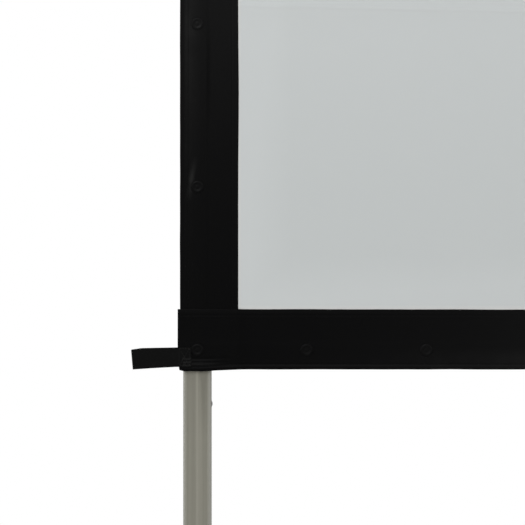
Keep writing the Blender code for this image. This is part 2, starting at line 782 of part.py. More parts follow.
def make_feet():
    x = -HALF_WIDTH
    centre = (x, 0, FOOT_HEIGHT)
    inside = FOOT_TUBE / 2 - FOOT_WALL
    start = FOOT_PIVOT_OUT - FOOT_TAIL
    end = FOOT_REACH - BOOT_END - FIT
    tube = bar(1, -end, -start, centre, FOOT_TUBE / 2, FOOT_CORNER)
    bore = block(
        (x - inside, -end - OVERRUN, FOOT_HEIGHT - inside),
        (x + inside, -start + OVERRUN, FOOT_HEIGHT + inside),
    )
    cut(tube, bore, foot_pin_hole(-FOOT_PIVOT_OUT))
    piece("front_foot_left", tube, "anodised_aluminium")
    boot = bar(1, -FOOT_REACH, BOOT_LENGTH - FOOT_REACH, centre, FOOT_HEIGHT, BOOT_CORNER)
    hold = FOOT_TUBE / 2 + FIT
    cavity = block(
        (x - hold, BOOT_END - FOOT_REACH, FOOT_HEIGHT - hold),
        (x + hold, BOOT_LENGTH - FOOT_REACH + OVERRUN, FOOT_HEIGHT + hold),
    )
    piece("front_foot_boot_left", cut(boot, cavity), "black_rubber")
    length = 2 * (BRACKET_HALF_WIDTH + FIT)
    foot = (x - length / 2, -FOOT_PIVOT_OUT, FOOT_PIVOT_HEIGHT)
    pin = pin_between(foot, (1, 0, 0), length, PIN_RADIUS, PIN_HEAD_RADIUS, PIN_HEAD)
    piece("front_foot_pin_left", pin, "zinc_steel")
    for name in ("front_foot_left", "front_foot_boot_left", "front_foot_pin_left"):
        rear = name.replace("front", "rear")
        copied(name, rear, TO_REAR)
        mirrored(name)
        mirrored(rear)


# The cloth: two halves that meet at the crease over the book hinges


def cap(x, z):
    face = BORDER_FRONT
    return rod((x, face + CAP_ROOT, z), (x, face - CAP_HEIGHT, z), CAP_RADIUS, CAP_SIDES, CAP_CROWN_RADIUS)


def snap_places():
    places = []
    for height in (RAIL_HEIGHT, TOP_RAIL_HEIGHT):
        places += [(-x, height) for x in rail_snap_places()]
        places.append((-HALF_WIDTH, height))
    for height in post_snap_heights():
        places.append((-HALF_WIDTH, RAIL_HEIGHT + height))
        places.append((-HALF_WIDTH, TOP_RAIL_HEIGHT - height))
    return places


def pull_tab(height):
    """A strap's outline from the border's outer end, bottom to top. It sags a little."""
    half = TAB_WIDTH / 2
    root = Vector((-HALF_WIDTH - POST_TO_STRIP_END, height))
    slant = Vector((0, half / math.cos(TAB_SAG)))
    along = Vector((-math.cos(TAB_SAG), -math.sin(TAB_SAG)))
    across = Vector((-math.sin(TAB_SAG), math.cos(TAB_SAG))) * half
    tip = root + along * (TAB_REACH - POST_TO_STRIP_END)
    return [tuple(p) for p in (root - slant, tip - across, tip + across, root + slant)]


def make_cloth():
    crease = -SEAM_GAP / 2
    bottom = RAIL_HEIGHT - RAIL_TO_CLOTH_EDGE
    top = TOP_RAIL_HEIGHT + RAIL_TO_CLOTH_EDGE
    image_bottom = RAIL_HEIGHT + RAIL_TO_IMAGE
    image_top = TOP_RAIL_HEIGHT - RAIL_TO_IMAGE
    image_edge = POST_TO_IMAGE - HALF_WIDTH
    strip_end = -HALF_WIDTH - POST_TO_STRIP_END
    cloth_edge = -HALF_WIDTH - POST_TO_CLOTH_EDGE
    points = [
        (crease, bottom),
        (strip_end, bottom),
        *pull_tab(RAIL_HEIGHT - TAB_DROP),
        (strip_end, image_bottom),
        (cloth_edge, image_bottom),
        (cloth_edge, image_top),
        (strip_end, image_top),
        *pull_tab(TOP_RAIL_HEIGHT + TAB_DROP),
        (strip_end, top),
        (crease, top),
        (crease, image_top),
        (image_edge, image_top),
        (image_edge, image_bottom),
        (crease, image_bottom),
    ]
    border = outline(points, CLOTH_BACK, BORDER_FRONT)
    join(border, together([cap(x, z) for x, z in snap_places()]))
    piece("black_border_left", border, "black_vinyl")
    surface = block(
        (image_edge + SEAM_GAP, CLOTH_BACK - SURFACE_THICKNESS, image_bottom + SEAM_GAP),
        (crease, CLOTH_BACK, image_top - SEAM_GAP),
    )
    piece("projection_surface_left", surface, "rear_projection_vinyl")
    mirrored("black_border_left")
    mirrored("projection_surface_left")


# What moves with what: each body's parent, joint axis and pieces


PARENTS = {
    "base_left": None,
    "frame_left": "base_left",
    "frame_right": "frame_left",
    "base_right": "frame_right",
}
BODY_PIECES = {
    "base": ("lower_leg", "foot_bracket", "front_foot_pin", "rear_foot_pin"),
    "frame": (
        "upper_leg",
        "leg_collar",
        "bottom_corner",
        "bottom_corner_pin",
        "bottom_rail",
        "bottom_book_hinge",
    ),
    "post_lower": ("bottom_post_hinge", "lower_post", "elbow_fork", "elbow_pin"),
    "post_upper": ("elbow_tongue", "upper_post", "top_post_hinge"),
    "top": ("top_corner", "top_corner_pin", "top_rail", "top_book_hinge"),
    "knob": ("leg_knob",),
    "plunger": ("elbow_plunger",),
    "foot_front": ("front_foot", "front_foot_boot"),
    "foot_rear": ("rear_foot", "rear_foot_boot"),
    "screen": ("black_border", "projection_surface"),
}
CARRIED_BY = {
    "post_lower": "frame",
    "post_upper": "post_lower",
    "top": "post_upper",
    "knob": "frame",
    "plunger": "post_lower",
    "foot_front": "base",
    "foot_rear": "base",
    "screen": "frame",
}
LEFT_AXES = {
    "base": LEG_FOOT,
    "frame": LEG_FOOT,
    "post_lower": CORNER_PIVOT,
    "post_upper": ELBOW_PIVOT,
    "top": TOP_PIVOT,
    "knob": KNOB_PIVOT,
    "plunger": LOCK_PIVOT,
    "foot_front": TO_REAR @ FOOT_PIVOT,
    "foot_rear": FOOT_PIVOT,
    "screen": LEG_FOOT,
}


def body_table():
    """Each body's name, parent, a point on its joint's axis, and pieces, parents first."""
    table = []
    for side, bodies in (("left", ("base", "frame")), ("right", ("frame", "base"))):
        for body in (*bodies, *CARRIED_BY):
            name = body + "_" + side
            parent = PARENTS[name] if name in PARENTS else CARRIED_BY[body] + "_" + side
            point = LEFT_AXES[body] if side == "left" else ACROSS @ LEFT_AXES[body]
            if name == "frame_right":
                point = BOOK_PIVOT
            names = [piece_name + "_" + side for piece_name in BODY_PIECES[body]]
            table.append((name, parent, point, names))
    return table


def hang_on_axes():
    """Puts an empty on each joint axis and parents each piece to its body's empty."""
    empties = {}
    points = {}
    for body, parent, point, names in body_table():
        empty = bpy.data.objects.new("axis_" + body, None)
        SCREEN.objects.link(empty)
        empty.parent = empties.get(parent)
        empty.location = point - points.get(parent, Vector())
        empties[body] = empty
        points[body] = point
        for name in names:
            hang(name, empty, point)
    hang("bottom_book_pin", empties["frame_left"], points["frame_left"])
    hang("top_book_pin", empties["top_left"], points["top_left"])


def hang(name, empty, point):
    PIECES[name].data.transform(Matrix.Translation(-point))
    PIECES[name].parent = empty


make_rails()
make_posts()
make_corners()
make_post_hinges()
make_knuckle_pins()
make_elbows()
make_elbow_locks()
make_book_hinges()
make_legs()
make_collars()
make_knobs()
make_brackets()
make_feet()
make_cloth()
hang_on_axes()
print("pieces:", len(PIECES))
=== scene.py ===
import json
import math

import bmesh
import bpy
from mathutils import Matrix, Vector, noise

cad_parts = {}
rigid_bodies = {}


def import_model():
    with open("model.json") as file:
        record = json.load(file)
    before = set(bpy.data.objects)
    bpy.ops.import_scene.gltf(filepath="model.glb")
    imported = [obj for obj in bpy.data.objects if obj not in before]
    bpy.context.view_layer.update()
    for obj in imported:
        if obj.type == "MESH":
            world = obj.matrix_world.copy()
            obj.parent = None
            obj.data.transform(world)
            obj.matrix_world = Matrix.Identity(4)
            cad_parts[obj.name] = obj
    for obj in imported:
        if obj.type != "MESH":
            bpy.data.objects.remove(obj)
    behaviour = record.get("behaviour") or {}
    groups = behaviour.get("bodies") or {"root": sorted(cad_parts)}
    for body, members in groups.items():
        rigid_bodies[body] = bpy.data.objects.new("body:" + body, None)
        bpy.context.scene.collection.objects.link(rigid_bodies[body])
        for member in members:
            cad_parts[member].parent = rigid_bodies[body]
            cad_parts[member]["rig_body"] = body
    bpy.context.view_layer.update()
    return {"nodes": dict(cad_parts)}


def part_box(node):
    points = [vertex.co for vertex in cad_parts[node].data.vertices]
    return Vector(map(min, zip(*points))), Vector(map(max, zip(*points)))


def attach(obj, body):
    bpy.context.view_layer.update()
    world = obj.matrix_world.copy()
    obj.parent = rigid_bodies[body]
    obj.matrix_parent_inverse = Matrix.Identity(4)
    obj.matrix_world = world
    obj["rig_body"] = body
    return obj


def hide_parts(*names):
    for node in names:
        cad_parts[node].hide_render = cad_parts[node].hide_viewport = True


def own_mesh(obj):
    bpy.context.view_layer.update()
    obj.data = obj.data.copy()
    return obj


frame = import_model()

# A fast-fold projection screen, seen at its lower left corner.
# Metres, +Z up, the cloth faces -Y. The left half is modelled and the right half mirrors it.

bodyOf = {name: node["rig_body"] for name, node in frame["nodes"].items()}
print("frame loaded:", len(bodyOf), "nodes")


def middle(node, axis):
    low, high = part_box(node)
    return (low[axis] + high[axis]) / 2


# the frame's tube, and the snaps along it
tube = {"half": 0.015875, "wall": 0.0020, "corner": 0.0030, "segments": 6}
snaps = {"cornerGap": 0.1225, "railCount": 9, "postPitches": 8, "postCount": 3, "elbowGap": 0.060}

# places that the pieces share
postX = middle("lower_leg_left", 0)
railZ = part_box("bottom_rail_left")[1].z - tube["half"]
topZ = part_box("top_rail_left")[1].z - tube["half"]
midZ = (railZ + topZ) / 2
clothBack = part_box("black_border_left")[1].y


def snapPlaces():
    railPitch = (-2 * postX - 2 * snaps["cornerGap"]) / (2 * snaps["railCount"] - 1)
    postPitch = (topZ - railZ) / snaps["postPitches"]
    alongRail = [-(n + 0.5) * railPitch for n in range(snaps["railCount"])]
    upPost = [(n + 1) * postPitch for n in range(snaps["postCount"])]
    return alongRail, upPost + [midZ - railZ - snaps["elbowGap"]]


railSnaps, postSnaps = snapPlaces()
print("corner at", round(postX, 4), round(railZ, 4), "top rail at", round(topZ, 4))


def placed(name, data):
    made = bpy.data.objects.new(name, data)
    bpy.context.scene.collection.objects.link(made)
    return made


# camera: square on to the cloth
cameraSet = {"across": 0.588, "right": 0.073, "up": 0.098, "distance": 6.0, "sensor": 36.0}


def placeCamera():
    data = bpy.data.cameras.new("corner_camera")
    data.sensor_width = cameraSet["sensor"]
    data.lens = cameraSet["sensor"] * cameraSet["distance"] / cameraSet["across"]
    data.clip_end = 100
    camera = placed("corner_camera", data)
    camera.location = (postX + cameraSet["right"], clothBack - cameraSet["distance"], railZ + cameraSet["up"])
    camera.rotation_euler = (math.pi / 2, 0, 0)
    bpy.context.scene.camera = camera


placeCamera()
bpy.context.scene.view_settings.view_transform = "Standard"


# node helpers
def add(tree, kind, inputs=None, **settings):
    node = tree.nodes.new(kind)
    for key, value in settings.items():
        setattr(node, key, value)
    for key, value in (inputs or {}).items():
        if isinstance(value, bpy.types.NodeSocket):
            tree.links.new(value, node.inputs[key])
        else:
            node.inputs[key].default_value = value
    return node


def maths(tree, operation, first, second=0.0, clamp=False):
    return add(tree, "ShaderNodeMath", {0: first, 1: second}, operation=operation, use_clamp=clamp).outputs[0]


def times(tree, first, second):
    return maths(tree, "MULTIPLY", first, second)


def plus(tree, first, second):
    return maths(tree, "ADD", first, second)


def minus(tree, first, second):
    return maths(tree, "SUBTRACT", first, second)


def spread(tree, value, low, high, newLow=0.0, newHigh=1.0):
    ranges = {"Value": value, "From Min": low, "From Max": high, "To Min": newLow, "To Max": newHigh}
    return add(tree, "ShaderNodeMapRange", ranges).outputs[0]


def blendColours(tree, share, first, second):
    node = add(tree, "ShaderNodeMix", {0: share}, data_type="RGBA")
    for socket, value in ((6, first), (7, second)):
        if isinstance(value, bpy.types.NodeSocket):
            tree.links.new(value, node.inputs[socket])
        else:
            node.inputs[socket].default_value = (*value, 1)
    return node.outputs[2]


def newGroup(name, inputs, output):
    group = bpy.data.node_groups.new(name, "ShaderNodeTree")
    for label, value in inputs.items():
        kind = "NodeSocketVector" if isinstance(value, tuple) else "NodeSocketFloat"
        group.interface.new_socket(label, in_out="INPUT", socket_type=kind).default_value = value
    group.interface.new_socket(output, in_out="OUTPUT", socket_type="NodeSocketFloat")
    given = group.nodes.new("NodeGroupInput").outputs
    place = add(group, "ShaderNodeTexCoord").outputs["Object"]
    return group, given, place, group.nodes.new("NodeGroupOutput").inputs


# slow, soft unevenness
def makeMottle():
    group, given, place, out = newGroup("softMottle", {"Scale": 4.0, "Contrast": 1.0}, "Value")
    cloud = add(group, "ShaderNodeTexNoise", {"Vector": place, "Scale": given["Scale"], "Detail": 3.0})
    scaled = times(group, minus(group, cloud.outputs[0], 0.5), given["Contrast"])
    group.links.new(maths(group, "ADD", scaled, 0.5, True), out["Value"])
    return group


# small pits and bumps, as in embossed vinyl or a casting's skin
def makeGrain():
    group, given, place, out = newGroup("fineGrain", {"Scale": 900.0, "Pits": 0.5}, "Height")
    cells = add(group, "ShaderNodeTexVoronoi", {"Vector": place, "Scale": given["Scale"]})
    cloud = add(group, "ShaderNodeTexNoise", {"Vector": place, "Scale": given["Scale"], "Detail": 2.0})
    pits = cells.outputs["Distance"]
    height = add(group, "ShaderNodeMix", {0: given["Pits"], 2: cloud.outputs[0], 3: pits})
    group.links.new(height.outputs[0], out["Height"])
    return group


# fine lines along one direction, as on an extruded tube
def makeDrawnLines():
    group, given, place, out = newGroup("drawnLines", {"Stretch": (900.0, 900.0, 4.0)}, "Value")
    pulled = add(group, "ShaderNodeMapping", {"Vector": place, "Scale": given["Stretch"]}).outputs[0]
    noiseSet = {"Vector": pulled, "Scale": 1.0, "Detail": 4.0, "Roughness": 0.6}
    group.links.new(add(group, "ShaderNodeTexNoise", noiseSet).outputs[0], out["Value"])
    return group


# sparse rubbed patches and dust
def makeScuffs():
    group, given, place, out = newGroup("scuffs", {"Scale": 25.0, "Amount": 0.4}, "Mask")
    noiseSet = {"Vector": place, "Scale": given["Scale"], "Detail": 6.0, "Roughness": 0.7}
    patches = add(group, "ShaderNodeTexNoise", noiseSet).outputs[0]
    edge = minus(group, 0.72, times(group, given["Amount"], 0.3))
    group.links.new(spread(group, patches, edge, plus(group, edge, 0.12)), out["Mask"])
    return group


# crossing ribs of a strap
def makeWeave():
    group, given, place, out = newGroup("strapWeave", {"Along": 4500.0, "Across": 3100.0}, "Height")
    split = add(group, "ShaderNodeSeparateXYZ", {0: place}).outputs
    along = maths(group, "SINE", times(group, split["X"], given["Along"]))
    across = maths(group, "SINE", times(group, split["Z"], given["Across"]))
    group.links.new(spread(group, times(group, along, across), -1.0, 1.0), out["Height"])
    return group


groups = {"mottle": makeMottle(), "grain": makeGrain(), "lines": makeDrawnLines(), "scuffs": makeScuffs(),
          "weave": makeWeave()}


def use(tree, name, **inputs):
    node = tree.nodes.new("ShaderNodeGroup")
    node.node_tree = groups[name]
    for key, value in inputs.items():
        node.inputs[key].default_value = value
    return node.outputs[0]


def startFinish(name, roughness, metallic=0.0, specular=0.5):
    made = bpy.data.materials.new(name)
    made.use_nodes = True
    shader = made.node_tree.nodes["Principled BSDF"]
    shader.inputs["Roughness"].default_value = roughness
    shader.inputs["Metallic"].default_value = metallic
    shader.inputs["Specular IOR Level"].default_value = specular
    return made, made.node_tree, shader.inputs


def bump(tree, shader, height, strength, distance=0.0002):
    node = add(tree, "ShaderNodeBump", {"Strength": strength, "Distance": distance, "Height": height})
    tree.links.new(node.outputs[0], shader["Normal"])


# places across a strip are measured from its tube's axis, and depths from the back of the cloth
postStrip = {
    "outer": 0.0195, "inner": 0.0458, "end": 0.0188, "hem": 0.0301, "step": 0.006, "tuck": 0.0120,
    "stitchLine": 0.0101, "stitchDepth": 0.00122, "stitchGap": 0.047,
    "curl": (0.002, 0.024), "outerFade": (0.004, 0.0195), "innerFade": (0.020, 0.045),
    "seed": 3.1, "edgeSeed": 8.4,
}
railStrip = {
    "outer": 0.0218, "inner": 0.0458, "end": 0.0221, "hem": 0.0287, "step": 0.006, "lift": 0.0014,
    "stitchLine": 0.0158, "stitchDepth": 0.00134, "stitchGap": 0.0030, "stitchEnd": 0.002,
    "outerFade": (0.002, 0.0205), "innerFade": (0.030, 0.046), "seed": 11.7, "edgeSeed": 5.2,
}

# bands are (line, reach, core) and fades are (none, full), in metres in from the frame's corner axes
vinyl = {
    "black": (0.0012, 0.0012, 0.0013), "sheenTone": (0.0058, 0.0058, 0.0059), "dustAndGlint": (0.0102, 0.0102, 0.0102),
    "scuff": (0.0185, 0.0185, 0.0182), "roughness": 0.44, "specular": 0.034, "grain": 1100.0,
    "sheenSquash": 0.845, "sheenFade": (0.0, 0.43), "powderAway": (0.0, 0.385), "powderEdge": (0.004, -0.009),
    "powderHem": (-0.0165, -0.0125), "hemEdgeShade": (-0.0125, -0.0150),
    "grooveShadeAcross": (0.0125, 0.0034, 0.0008), "grooveShadeUp": (0.31, 0.07, 0.02),
    "creaseLean": 0.145, "creaseWander": 0.0022,
    "creaseAcross": (-0.0336, 0.0044, 0.0006), "creaseUp": (0.1915, 0.026, 0.002),
    "ridge": (-0.0176, 0.0024, 0.0006), "weld": (0.0432, 0.0017, 0.0005), "weldFade": (0.26, 0.18),
    "lowFoldGlint": (-0.0152, 0.0030, 0.0004), "highFoldGlint": (-0.0112, 0.0014, 0.0003),
    "foldGlintFade": (0.030, -0.006),
}


def splitPlace(tree):
    return add(tree, "ShaderNodeSeparateXYZ", {0: add(tree, "ShaderNodeTexCoord").outputs["Object"]}).outputs


def fromPost(tree, place):
    return minus(tree, -postX, maths(tree, "ABSOLUTE", place["X"]))


# distances in from the frame's corner axes, sideways and upright
def fromCorner(tree):
    place = splitPlace(tree)
    fromMiddle = maths(tree, "ABSOLUTE", minus(tree, place["Z"], midZ))
    return fromPost(tree, place), minus(tree, midZ - railZ, fromMiddle)


# painted sheen: the vinyl lightens away from the frame's corners, standing in for the lamps' glossy
# reflection
def paintedSheenAt(tree, sideways, upright):
    squashed = times(tree, sideways, vinyl["sheenSquash"])
    corner = add(tree, "ShaderNodeCombineXYZ", {0: squashed, 1: upright}).outputs[0]
    away = add(tree, "ShaderNodeVectorMath", {0: corner}, operation="LENGTH").outputs["Value"]
    return away, maths(tree, "POWER", spread(tree, away, *vinyl["sheenFade"]), 2.1)


# a soft band about a line, as a share from 0 to 1
def bandAt(tree, value, line, reach, core):
    return spread(tree, maths(tree, "ABSOLUTE", minus(tree, value, line)), reach, core)


def makeVinyl():
    made, tree, shader = startFinish("black_vinyl_cloth", vinyl["roughness"], 0.0, vinyl["specular"])
    sideways, upright = fromCorner(tree)
    away, sheenShare = paintedSheenAt(tree, sideways, upright)
    cloud = use(tree, "mottle", Scale=5.0, Contrast=1.6)
    blotch = use(tree, "mottle", Scale=42.0, Contrast=2.2)
    dust = times(tree, use(tree, "scuffs", Scale=18.0, Amount=0.25), 0.25)
    # painted sheen: the colour lightens towards the sheen tone away from the corners, unevenly
    uneven = times(tree, sheenShare, spread(tree, cloud, 0.0, 1.0, 0.75, 1.1))
    share = plus(tree, plus(tree, uneven, dust), times(tree, cloud, 0.06))
    tone = blendColours(tree, share, vinyl["black"], vinyl["sheenTone"])
    # light dust towards the outer edges; painted shade: a dark line beside the post strips' hem, where a
    # shallow groove would be shaded
    dustAndGlint = times(tree, spread(tree, maths(tree, "MINIMUM", sideways, upright), *vinyl["powderEdge"]),
                   maths(tree, "POWER", spread(tree, away, *vinyl["powderAway"]), 2.8))
    dustAndGlint = times(tree, dustAndGlint, spread(tree, blotch, 0.0, 1.0, 0.35, 1.15))
    dustAndGlint = times(tree, dustAndGlint, spread(tree, sideways, *vinyl["powderHem"]))
    tone = blendColours(tree, dustAndGlint, tone, vinyl["dustAndGlint"])
    # painted shade: the post strip's rolled outer edge darkened towards black, where it turns from the light
    tone = blendColours(tree, spread(tree, sideways, *vinyl["hemEdgeShade"], 0.0, 0.45), tone, vinyl["black"])
    grooveShade = times(tree, bandAt(tree, sideways, *vinyl["grooveShadeAcross"]),
                  bandAt(tree, upright, *vinyl["grooveShadeUp"]))
    grooveShade = times(tree, grooveShade, spread(tree, cloud, 0.2, 0.5, 0.15, 0.55))
    tone = blendColours(tree, grooveShade, tone, vinyl["black"])
    # painted highlight: a light line in the scuff colour, where a crease that slants past the post's first
    # snap would catch the light
    slanting = minus(tree, sideways, times(tree, upright, vinyl["creaseLean"]))
    slanting = plus(tree, slanting, times(tree, blotch, vinyl["creaseWander"]))
    crease = times(tree, bandAt(tree, slanting, *vinyl["creaseAcross"]),
                   bandAt(tree, upright, *vinyl["creaseUp"]))
    crease = times(tree, crease, spread(tree, blotch, 0.0, 1.0, 0.45, 0.95))
    tone = blendColours(tree, crease, tone, vinyl["scuff"])
    # painted highlights: light lines along the hem's ridge and the folds beside it, strongest beside the pull
    # tab, where they would catch the light; and a faint lighter line along the weld near the inner edge
    weld = times(tree, bandAt(tree, upright, *vinyl["weld"]), spread(tree, sideways, *vinyl["weldFade"]))
    ridge = times(tree, bandAt(tree, upright, *vinyl["ridge"]), 0.14)
    ridge = maths(tree, "MAXIMUM", ridge, times(tree, weld, 0.10))
    foldGlint = maths(tree, "MAXIMUM", bandAt(tree, upright, *vinyl["lowFoldGlint"]),
                    times(tree, bandAt(tree, upright, *vinyl["highFoldGlint"]), 0.45))
    foldGlint = times(tree, times(tree, foldGlint, spread(tree, sideways, *vinyl["foldGlintFade"])), 0.75)
    paintedGlint = times(tree, maths(tree, "MAXIMUM", ridge, foldGlint), spread(tree, blotch, 0.0, 1.0, 0.5, 1.2))
    # the dust colour paints these highlights too
    tree.links.new(blendColours(tree, paintedGlint, tone, vinyl["dustAndGlint"]), shader["Base Color"])
    roughness = spread(tree, cloud, 0.0, 1.0, vinyl["roughness"] + 0.06, vinyl["roughness"] - 0.06)
    tree.links.new(roughness, shader["Roughness"])
    bump(tree, shader, use(tree, "grain", Scale=vinyl["grain"], Pits=0.5), 0.35)
    return made


picture = {
    "grey": (0.513, 0.537, 0.536), "light": (0.552, 0.575, 0.576), "seam": (0.606, 0.600, 0.588),
    "seamFade": (0.0042, 0.0005), "edgeFade": (0.060, 0.004),
    "upFade": (0.18, 0.40), "acrossFade": (0.12, 0.37),
    "roughness": 0.82, "thickness": 0.00055, "grain": 1500.0, "hollow": 0.0006, "pace": 2.6,
    "weldFlat": (0.012, 0.20), "lowFlat": (0.18, 0.40), "middleFlat": (0.0, 0.10),
    "crease": {"from": (-1.1253, 1.1338), "slope": -0.0223, "half": 0.0032, "height": 0.00070,
               "endFade": (0.012, 0.03), "acrossFade": (0.45, 0.80)},
}


def makePictureFinish():
    made, tree, shader = startFinish("rear_projection_vinyl", picture["roughness"], 0.0, 0.12)
    cloud = use(tree, "mottle", Scale=1.3, Contrast=1.3)
    fine = use(tree, "mottle", Scale=26.0, Contrast=0.8)
    share = plus(tree, times(tree, cloud, 0.45), times(tree, fine, 0.12))
    # lighter higher up; painted light: lighter towards the middle across, making up for the lamps' falloff;
    # and paler towards a welded margin beside the black strips
    sideways, upright = fromCorner(tree)
    nearest = maths(tree, "MINIMUM", minus(tree, sideways, postStrip["inner"]),
                    minus(tree, upright, railStrip["inner"]))
    share = plus(tree, share, times(tree, spread(tree, upright, *picture["upFade"]), 0.50))
    # painted light: lighter towards the middle across, making up for the lamps' falloff
    share = plus(tree, share, times(tree, spread(tree, sideways, *picture["acrossFade"]), 0.25))
    share = plus(tree, share, times(tree, spread(tree, nearest, *picture["edgeFade"]), 0.85))
    base = blendColours(tree, share, picture["grey"], picture["light"])
    margin = times(tree, spread(tree, nearest, *picture["seamFade"]), 0.8)
    tree.links.new(blendColours(tree, margin, base, picture["seam"]), shader["Base Color"])
    bump(tree, shader, use(tree, "grain", Scale=picture["grain"], Pits=0.2), 0.12)
    return made


anodised = {
    "dark": (0.172, 0.167, 0.139), "base": (0.237, 0.230, 0.191), "light": (0.290, 0.281, 0.240),
    "paintedGlint": (0.330, 0.327, 0.297), "roughness": 0.40, "metallic": 0.82,
    "brightLine": (-0.0003, 0.0024, 0.0004), "dullLine": (0.0066, 0.0040, 0.0008), "shadowSide": (0.001, 0.007),
    "cornerFade": (0.0110, 0.0150), "cornerShift": 0.0004,
    "closeShadow": (0.020, 0.010), "farShadow": (0.085, 0.020),
}
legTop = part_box("upper_leg_left")[1].z


# anodised aluminium whose extrusion lines run along the tube
def makeTubeFinish(name, stretch, streak=False):
    made, tree, shader = startFinish(name, anodised["roughness"], anodised["metallic"])
    lines = use(tree, "lines", Stretch=stretch)
    broad = use(tree, "lines", Stretch=[s * 0.22 for s in stretch])
    share = plus(tree, times(tree, lines, 0.5), times(tree, broad, 0.5))
    tone = blendColours(tree, spread(tree, share, 0.38, 0.62), anodised["dark"], anodised["light"])
    tone = blendColours(tree, 0.55, tone, anodised["base"])
    if streak:
        # die lines down the legs' faces, painted highlight on the rounded corners, and painted shadow at the
        # leg's top, under the cloth's edge
        place = splitPlace(tree)
        fromAxis = fromPost(tree, place)
        bright = bandAt(tree, fromAxis, *anodised["brightLine"])
        dull = bandAt(tree, fromAxis, *anodised["dullLine"])
        beside = maths(tree, "ABSOLUTE", plus(tree, fromAxis, anodised["cornerShift"]))
        corner = maths(tree, "MINIMUM", beside, maths(tree, "ABSOLUTE", place["Y"]))
        close, far = (spread(tree, place["Z"], *[legTop - below for below in anodised[reach]])
                      for reach in ("closeShadow", "farShadow"))
        # painted shadow: darker just under the cloth's edge, more so towards the inner side
        stripShadow = plus(tree, times(tree, close, 0.22), times(tree, far, 0.50))
        stripShadow = times(tree, stripShadow, spread(tree, bright, 0.0, 1.0, 1.0, 0.3))
        shadowWeight = plus(tree, spread(tree, fromAxis, *anodised["shadowSide"], 1.0, 1.3), dull)
        tone = blendColours(tree, times(tree, bright, 0.60), tone, anodised["light"])
        tone = blendColours(tree, times(tree, dull, 0.30), tone, anodised["dark"])
        tone = blendColours(tree, times(tree, stripShadow, shadowWeight), tone, anodised["dark"])
        # painted highlight: the rounded corners lightened, where they would catch the light
        paintedGlint = times(tree, spread(tree, corner, *anodised["cornerFade"]), 0.85)
        tone = blendColours(tree, paintedGlint, tone, anodised["paintedGlint"])
    scuff = times(tree, use(tree, "scuffs", Scale=40.0, Amount=0.3), 0.3)
    tree.links.new(blendColours(tree, scuff, tone, anodised["light"]), shader["Base Color"])
    roughness = spread(tree, lines, 0.3, 0.7, anodised["roughness"] - 0.05, anodised["roughness"] + 0.07)
    tree.links.new(roughness, shader["Roughness"])
    bump(tree, shader, lines, 0.08)
    return made


# cast, moulded or plated finishes: two tones, a grain and rubbed places
def makeGrainyFinish(name, low, high, roughness, metallic, specular, grain, depth, scuffed, withSheen=False):
    made, tree, shader = startFinish(name, roughness, metallic, specular)
    cloud = use(tree, "mottle", Scale=45.0, Contrast=1.4)
    worn = [min(1.0, c * 1.5 + 0.01) for c in high]
    scuff = times(tree, use(tree, "scuffs", Scale=60.0, Amount=scuffed), 0.5)
    tone = blendColours(tree, scuff, blendColours(tree, cloud, low, high), worn)
    # painted sheen: the snap caps lighten away from the frame's corners like the vinyl, standing in for the
    # lamps' glossy reflection
    if withSheen:
        tone = blendColours(tree, paintedSheenAt(tree, *fromCorner(tree))[1], tone, vinyl["sheenTone"])
    tree.links.new(tone, shader["Base Color"])
    tree.links.new(spread(tree, cloud, 0.0, 1.0, roughness + 0.05, roughness - 0.05), shader["Roughness"])
    bump(tree, shader, use(tree, "grain", Scale=grain, Pits=0.6), depth, 0.0003)
    return made


def makeWebbing():
    made, tree, shader = startFinish("black_webbing", 0.6, 0.0, 0.04)
    ribs = use(tree, "weave")
    cloud = use(tree, "mottle", Scale=30.0, Contrast=1.2)
    share = plus(tree, times(tree, ribs, 0.6), times(tree, cloud, 0.4))
    tone = blendColours(tree, share, (0.0018, 0.0018, 0.0018), (0.0044, 0.0044, 0.0044))
    tree.links.new(tone, shader["Base Color"])
    bump(tree, shader, ribs, 0.5, 0.0003)
    return made


def makeThread(name, low, high):
    made, tree, shader = startFinish(name, 0.55, 0.0, 0.06)
    twist = use(tree, "lines", Stretch=(3500.0, 3500.0, 3500.0))
    tree.links.new(blendColours(tree, spread(tree, twist, 0.35, 0.65), low, high), shader["Base Color"])
    bump(tree, shader, twist, 0.3, 0.0001)
    return made


